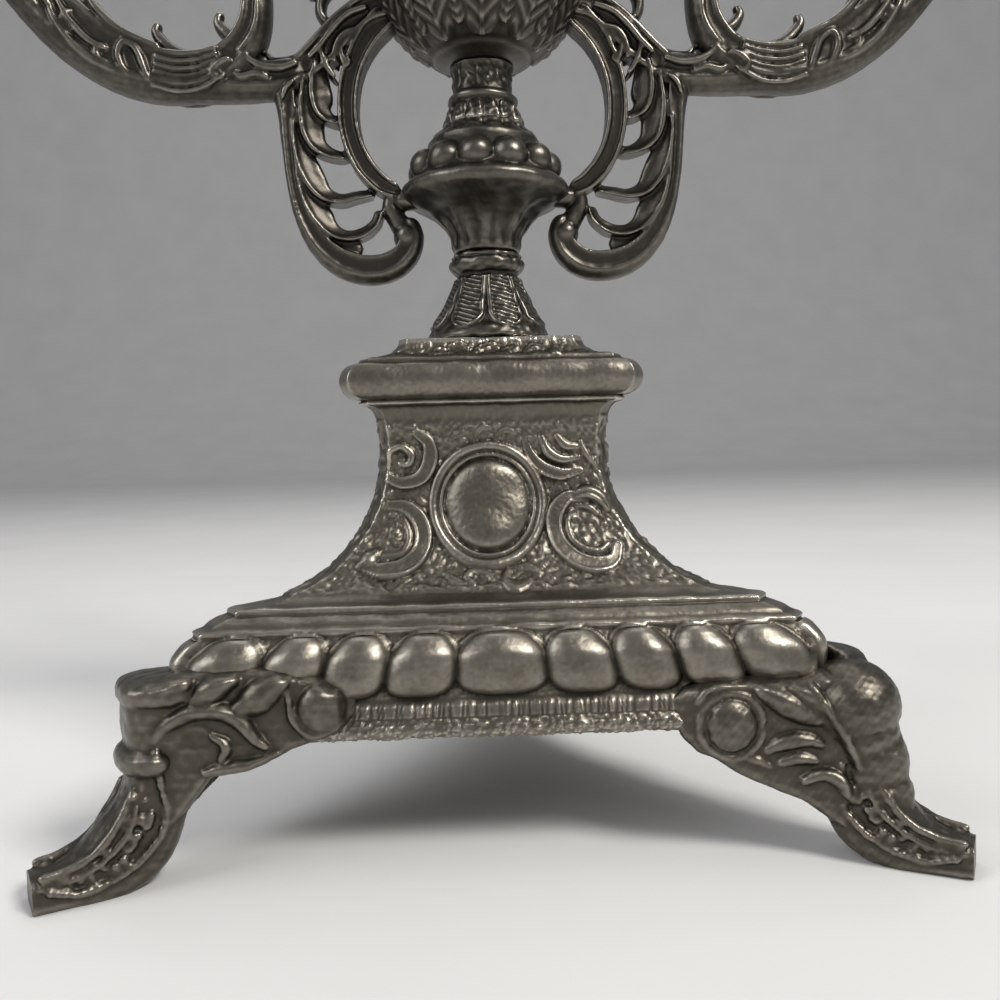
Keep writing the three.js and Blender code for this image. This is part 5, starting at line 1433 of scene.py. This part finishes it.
# %% [markdown]
# ## Urn, cover and spindle
# Only the dark underside of the urn is in the photograph. Such a piece has a leaf-wrapped bowl, a
# corded rim, a lobed cover and a baluster for the middle light, so these are carved to match the
# leaves and beads that can be seen lower down.

# %% The urn
level = underside("urn_bowl")
urn_out = lifted([
    [6.9, 0], [8.2, 0.5], [9.6, 1.2], [10.4, 1.5], [10.9, 2.1], [12.2, 2.7], [14.8, 4.4],
    [18.3, 8.1], [21.4, 12.4], [22.9, 16.2], [23.2, 18.0], [22.9, 20.6], [21.9, 23.0], [21.2, 24.0],
    [21.9, 24.6], [22.2, 25.4], [21.9, 26.4], [21.2, 27.0]], level)
urn_profile = {
    "out": [[BORE, level], *urn_out, [19.0, level + 27.0]],
    "in": [[18.9, level + 26.6], [20.4, level + 18], [18.8, level + 12], [12.6, level + 5.6],
           [BORE, level + 5.4],
           [BORE, level + 0.3]],
}


def urn_relief(theta, z, r, low=level):
    wraps = leaves(theta, z, r, 10, low + 2.4, low + 15.5, 4.4, 0.7)
    small = leaves(theta, z, r, 10, low + 4.0, low + 13.0, 1.9, 0.5, math.pi / 10)
    band = rope(theta, z, low + 18.2, 1.1, 0.55, 60)
    scallop = lobes(theta, z, r, 28, low + 19.8, low + 23.6, 0.55)
    return np.maximum(wraps, small) + band + scallop


turned_casting("urn_casting", "urn_bowl", urn_profile, urn_relief, 520, 0.32)

# %% The cover
level = underside("urn_cover")
cover_profile = bored(lifted([
    [19.0, 0], [21.6, 0.1], [22.6, 0.7], [22.8, 1.4], [22.2, 2.4], [20.8, 3.2], [18.8, 4.2],
    [16.8, 5.6], [14.0, 7.2], [11.2, 8.8], [8.6, 10.8], [6.6, 12.8], [5.6, 14.6], [5.2, 15.8],
    [6.2, 16.4], [6.8, 17.2], [7.0, 18.2], [6.7, 19.2], [6.4, 20.0]], level))


def cover_relief(theta, z, r, low=level):
    rays = np.sqrt(np.abs(np.cos(theta * 12)))
    rays = rays * limit((z - low - 3.6) / 1.2) * limit((low + 12.4 - z) / 2)
    return 0.75 * rays + beads(theta, z, r, 44, low + 1.4, 0.75)


turned_casting("urn_cover_casting", "urn_cover", cover_profile, cover_relief, 520, 0.32)

# %% The spindle
level = underside("centre_spindle")
spindle_profile = bored(lifted([
    [6.6, 0], [6.9, 0.6], [6.6, 1.5], [5.4, 2.4], [4.6, 4.6], [4.6, 7.0], [5.4, 10.4], [7.2, 14.6],
    [8.1, 18.2], [8.2, 20.0], [7.4, 23.0], [5.6, 25.4], [4.9, 26.2], [5.9, 26.8], [6.3, 27.6],
    [5.8, 28.4], [4.8, 29.2], [4.4, 32.0], [4.4, 37.0], [4.8, 40.0], [5.8, 43.4], [6.5, 45.4],
    [6.8, 46.4], [6.6, 48.0]], level))


def spindle_relief(theta, z, r, low=level):
    swell = leaves(theta, z, r, 6, low + 7.5, low + 23.6, 3.2, 0.8)
    flutes = 0.3 * np.cos(theta * 10) * limit((z - low - 29.6) / 1) * limit((low + 42 - z) / 1.5)
    return swell + flutes + beads(theta, z, r, 16, low + 27.6, 0.7)


turned_casting("spindle_casting", "centre_spindle", spindle_profile, spindle_relief, 320, 0.3)

# %% [markdown]
# ## Three lights
# Each light is a scalloped drip pan, a vase-shaped candle cup and a loose nozzle. The nozzle rides
# on its own body, because it lifts out of the cup for cleaning. The three lights are alike, so each
# kind of piece is written once, and takes its place and height from its own CAD node.

# %% Drip pans
def light_x(side):
    """Where a light's upright axis stands."""
    low, high = span(f"{side}_drip_pan")
    return (low[0] + high[0]) / 2


def drip_pan(side):
    low = span(f"{side}_drip_pan")[1][2] - 5
    pan_out = lifted([
        [2.0, 0], [5.6, 0], [6.4, 0.0], [6.9, -0.6], [9.4, -1.2], [12.6, -1.4], [15.6, -0.8],
        [18.0, 0.4], [19.8, 2.2], [20.8, 3.6], [21.4, 4.4], [21.3, 5.0], [20.4, 5.0], [19.2, 3.8],
        [17.4, 2.1], [14.6, 0.8], [12.2, 0.4], [9.4, 0.7], [7.4, 1.4], [6.8, 2.8], [6.0, 3.0],
        [2.0, 3.0]], low)

    def pan_relief(theta, z, r):
        outer = limit((r - 12) / 7)
        scallops = 0.55 * np.abs(np.cos(theta * 10)) * outer
        return scallops - 0.25 * outer + beads(theta, z, r, 60, low + 4.7, 0.6) * (r > 20.6)

    profile = {"out": pan_out, "in": [[2.0, low + 2.6], [2.0, low + 0.4]]}
    turned_casting(f"{side}_pan_casting", f"{side}_drip_pan", profile, pan_relief, 420, 0.32,
                   light_x(side))


# %% Candle cups
def candle_cup(side):
    low = underside(f"{side}_candle_cup")
    profile = {
        "out": lifted([
            [2.0, 0], [6.6, 0], [6.9, 0.5], [6.2, 1.3], [5.2, 2.2], [5.2, 3.0], [6.6, 4.0],
            [9.4, 5.8], [11.8, 8.4], [13.2, 11.4], [13.6, 13.8], [13.2, 16.2], [12.7, 18.2],
            [12.9, 19.8], [13.6, 21.4], [14.0, 22.4], [14.2, 23.4], [14.1, 24.4], [13.6, 25.0],
            [12.3, 25.0]], low),
        "in": lifted([[12.2, 24.6], [12.2, 12.4], [6.4, 6.0], [2.0, 6.0], [2.0, 0.4]], low),
    }

    def cup_relief(theta, z, r):
        wrapped = leaves(theta, z, r, 8, low + 3.6, low + 15.8, 3.6, 0.75)
        small = leaves(theta, z, r, 8, low + 6.0, low + 14.2, 1.6, 0.5, math.pi / 8)
        bead_ring = beads(theta, z, r, 36, low + 18.4, 0.6)
        return np.maximum(wrapped, small) + bead_ring + rope(theta, z, low + 23.4, 0.9, 0.35, 48)

    turned_casting(f"{side}_cup_casting", f"{side}_candle_cup", profile, cup_relief, 400, 0.3,
                   light_x(side))


# %% Loose nozzles
def loose_nozzle(side):
    low = underside(f"{side}_nozzle") + 15.6
    profile = {
        "out": lifted([
            [0.05, -15.6], [8.9, -15.6], [11.3, -13.2], [11.9, -12.0], [11.9, 0], [12.4, 0.2],
            [14.6, 0.4], [16.0, 1.2], [16.9, 2.2], [16.7, 2.7], [16.1, 2.4], [15.0, 1.6],
            [13.6, 1.2], [12.6, 1.4], [12.3, 2.6], [11.8, 2.8], [11.0, 2.7]], low),
        "in": lifted([[11.0, 2.2], [11.0, -12.0], [9.0, -14.0], [0.05, -14.0]], low),
    }

    def nozzle_relief(theta, z, r):
        rim = 0.3 * limit((r - 15.2) / 1.2) * np.cos(theta * 40)
        petals = 0.2 * np.cos(theta * 20) * limit((r - 12.8) / 1.5)
        return rim + petals * (z > low + 0.3)

    turned_casting(f"{side}_nozzle_casting", f"{side}_nozzle", profile, nozzle_relief, 360, 0.32,
                   light_x(side), f"{side}_loose_nozzle")


for side in ("left", "centre", "right"):
    drip_pan(side)
    candle_cup(side)
    loose_nozzle(side)

# %% [markdown]
# ## Screws, pins and the tie rod
# The hardware inside keeps its CAD shape, since only a fitter ever sees it. It still gets a finish
# of its own: plain steel with fine turning marks and a little rust.

# %% Steel for the hardware
def steel_finish():
    finish = Finish("turned_steel", Metallic=1.0)
    rust = finish.texture("Noise", Scale=260.0, Detail=5.0, Roughness=0.7)
    finish.ramp(rust, "Base Color", (0.42, (0.40, 0.40, 0.41)), (0.62, (0.30, 0.27, 0.24)),
                (0.74, (0.16, 0.08, 0.04)))
    finish.ramp(rust, "Roughness", (0.4, 0.32), (0.75, 0.65))
    finish.bump(finish.texture("Wave", Scale=900.0, Distortion=2.0), 0.2, 0.0001)
    return finish.material


STEEL = steel_finish()
kept = [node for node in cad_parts.values() if not node.hide_render]
for node in kept:
    node.data.materials.clear()
    node.data.materials.append(STEEL)
print("hardware kept from the CAD:", sorted(node.name for node in kept))

# %% [markdown]
# ## Floor, light and camera
# A pale floor that curves up into a backdrop, as in a small photographic set. Dark metal shows its
# shape only by what it reflects, so large soft lamps stand on both sides of the camera.

# %% Floor and backdrop
def build_floor():
    paper = Finish("studio_paper", Roughness=0.75)
    clouds = paper.texture("Noise", Scale=9.0, Detail=3.0)
    paper.ramp(clouds, "Base Color", (0.3, (0.74, 0.735, 0.725)), (0.7, (0.78, 0.775, 0.765)))
    turn = np.linspace(0, math.pi / 2, 25)
    depth = np.concatenate([[-3.0], 2.4 + 1.2 * np.sin(turn), [3.6]])
    level = np.concatenate([[0], 1.2 - 1.2 * np.cos(turn), [4.0]])
    points = [(x, y, z) for y, z in zip(depth, level) for x in (-4.5, 0, 4.5)]
    starts = [3 * i + j for i in range(len(depth) - 1) for j in range(2)]
    faces = [(a, a + 1, a + 4, a + 3) for a in starts]
    mesh = bpy.data.meshes.new("floor")
    mesh.from_pydata(points, [], faces)
    mesh.polygons.foreach_set("use_smooth", [True] * len(faces))
    mesh.materials.append(paper.material)
    return into_scene("floor", mesh)


floor = build_floor()
print("floor:", len(floor.data.polygons), "faces")

# %% [markdown]
# ## Lamps
# The key lamp stands high on the right, as the bright edges in the photograph show, a wider and
# weaker one fills from the left, and one overhead draws the rims. Small bare lamps would make hard
# sparks on the metal, so all three are broad area lamps, and the room adds a low even light.

# %% Lamps and the world
def lamp(name, place, aim, size, power, colour=(1, 1, 1)):
    data = bpy.data.lights.new(name, "AREA")
    data.shape = "RECTANGLE"
    data.size, data.size_y = size
    data.energy = power
    data.color = colour
    light = into_scene(name, data)
    light.location = place
    light.rotation_euler = (Vector(aim) - Vector(place)).to_track_quat("-Z", "Y").to_euler()


middle = (0, AXIS_Y / MM, 0.09)
lamp("key_right", (0.85, -0.85, 1.15), middle, (0.45, 0.45), 19.0, (1, 0.98, 0.94))
lamp("fill_left", (-1.1, -0.6, 0.8), middle, (0.7, 0.9), 7.0, (0.97, 0.98, 1))
lamp("top", (0.0, 0.3, 1.2), middle, (0.9, 0.9), 4.0)
world = bpy.data.worlds.new("room")
world.use_nodes = True
room = world.node_tree.nodes["Background"].inputs
room["Color"].default_value = (0.75, 0.76, 0.78, 1)
room["Strength"].default_value = 0.4
bpy.context.scene.world = world
bpy.context.scene.view_settings.view_transform = "Standard"
print("lamps:", len(bpy.data.lights))

# %% [markdown]
# ## Camera
# The photograph was taken from close by and a little above the plinth, with the camera tilted down
# and rolled slightly. The place and the three angles come from fitting a camera to the plinth's
# front face and the feet, so the render can be laid over the photograph.

# %% Camera
camera_data = bpy.data.cameras.new("camera")
camera_data.lens = 34.56
camera_data.sensor_width = 36
camera_data.clip_start = 0.01
camera = into_scene("camera", camera_data)
camera.matrix_world = (
    Matrix.Translation((-0.00412, (AXIS_Y - 210.54) / MM, 0.07692))
    @ Matrix.Rotation(-0.0266, 4, "Z")
    @ Matrix.Rotation(-0.055, 4, "X")
    @ Matrix.Rotation(0.0262, 4, "Y")
    @ Matrix.Rotation(math.pi / 2, 4, "X")
)
bpy.context.scene.camera = camera
print("camera stands at", [round(x, 3) for x in camera.matrix_world.translation])
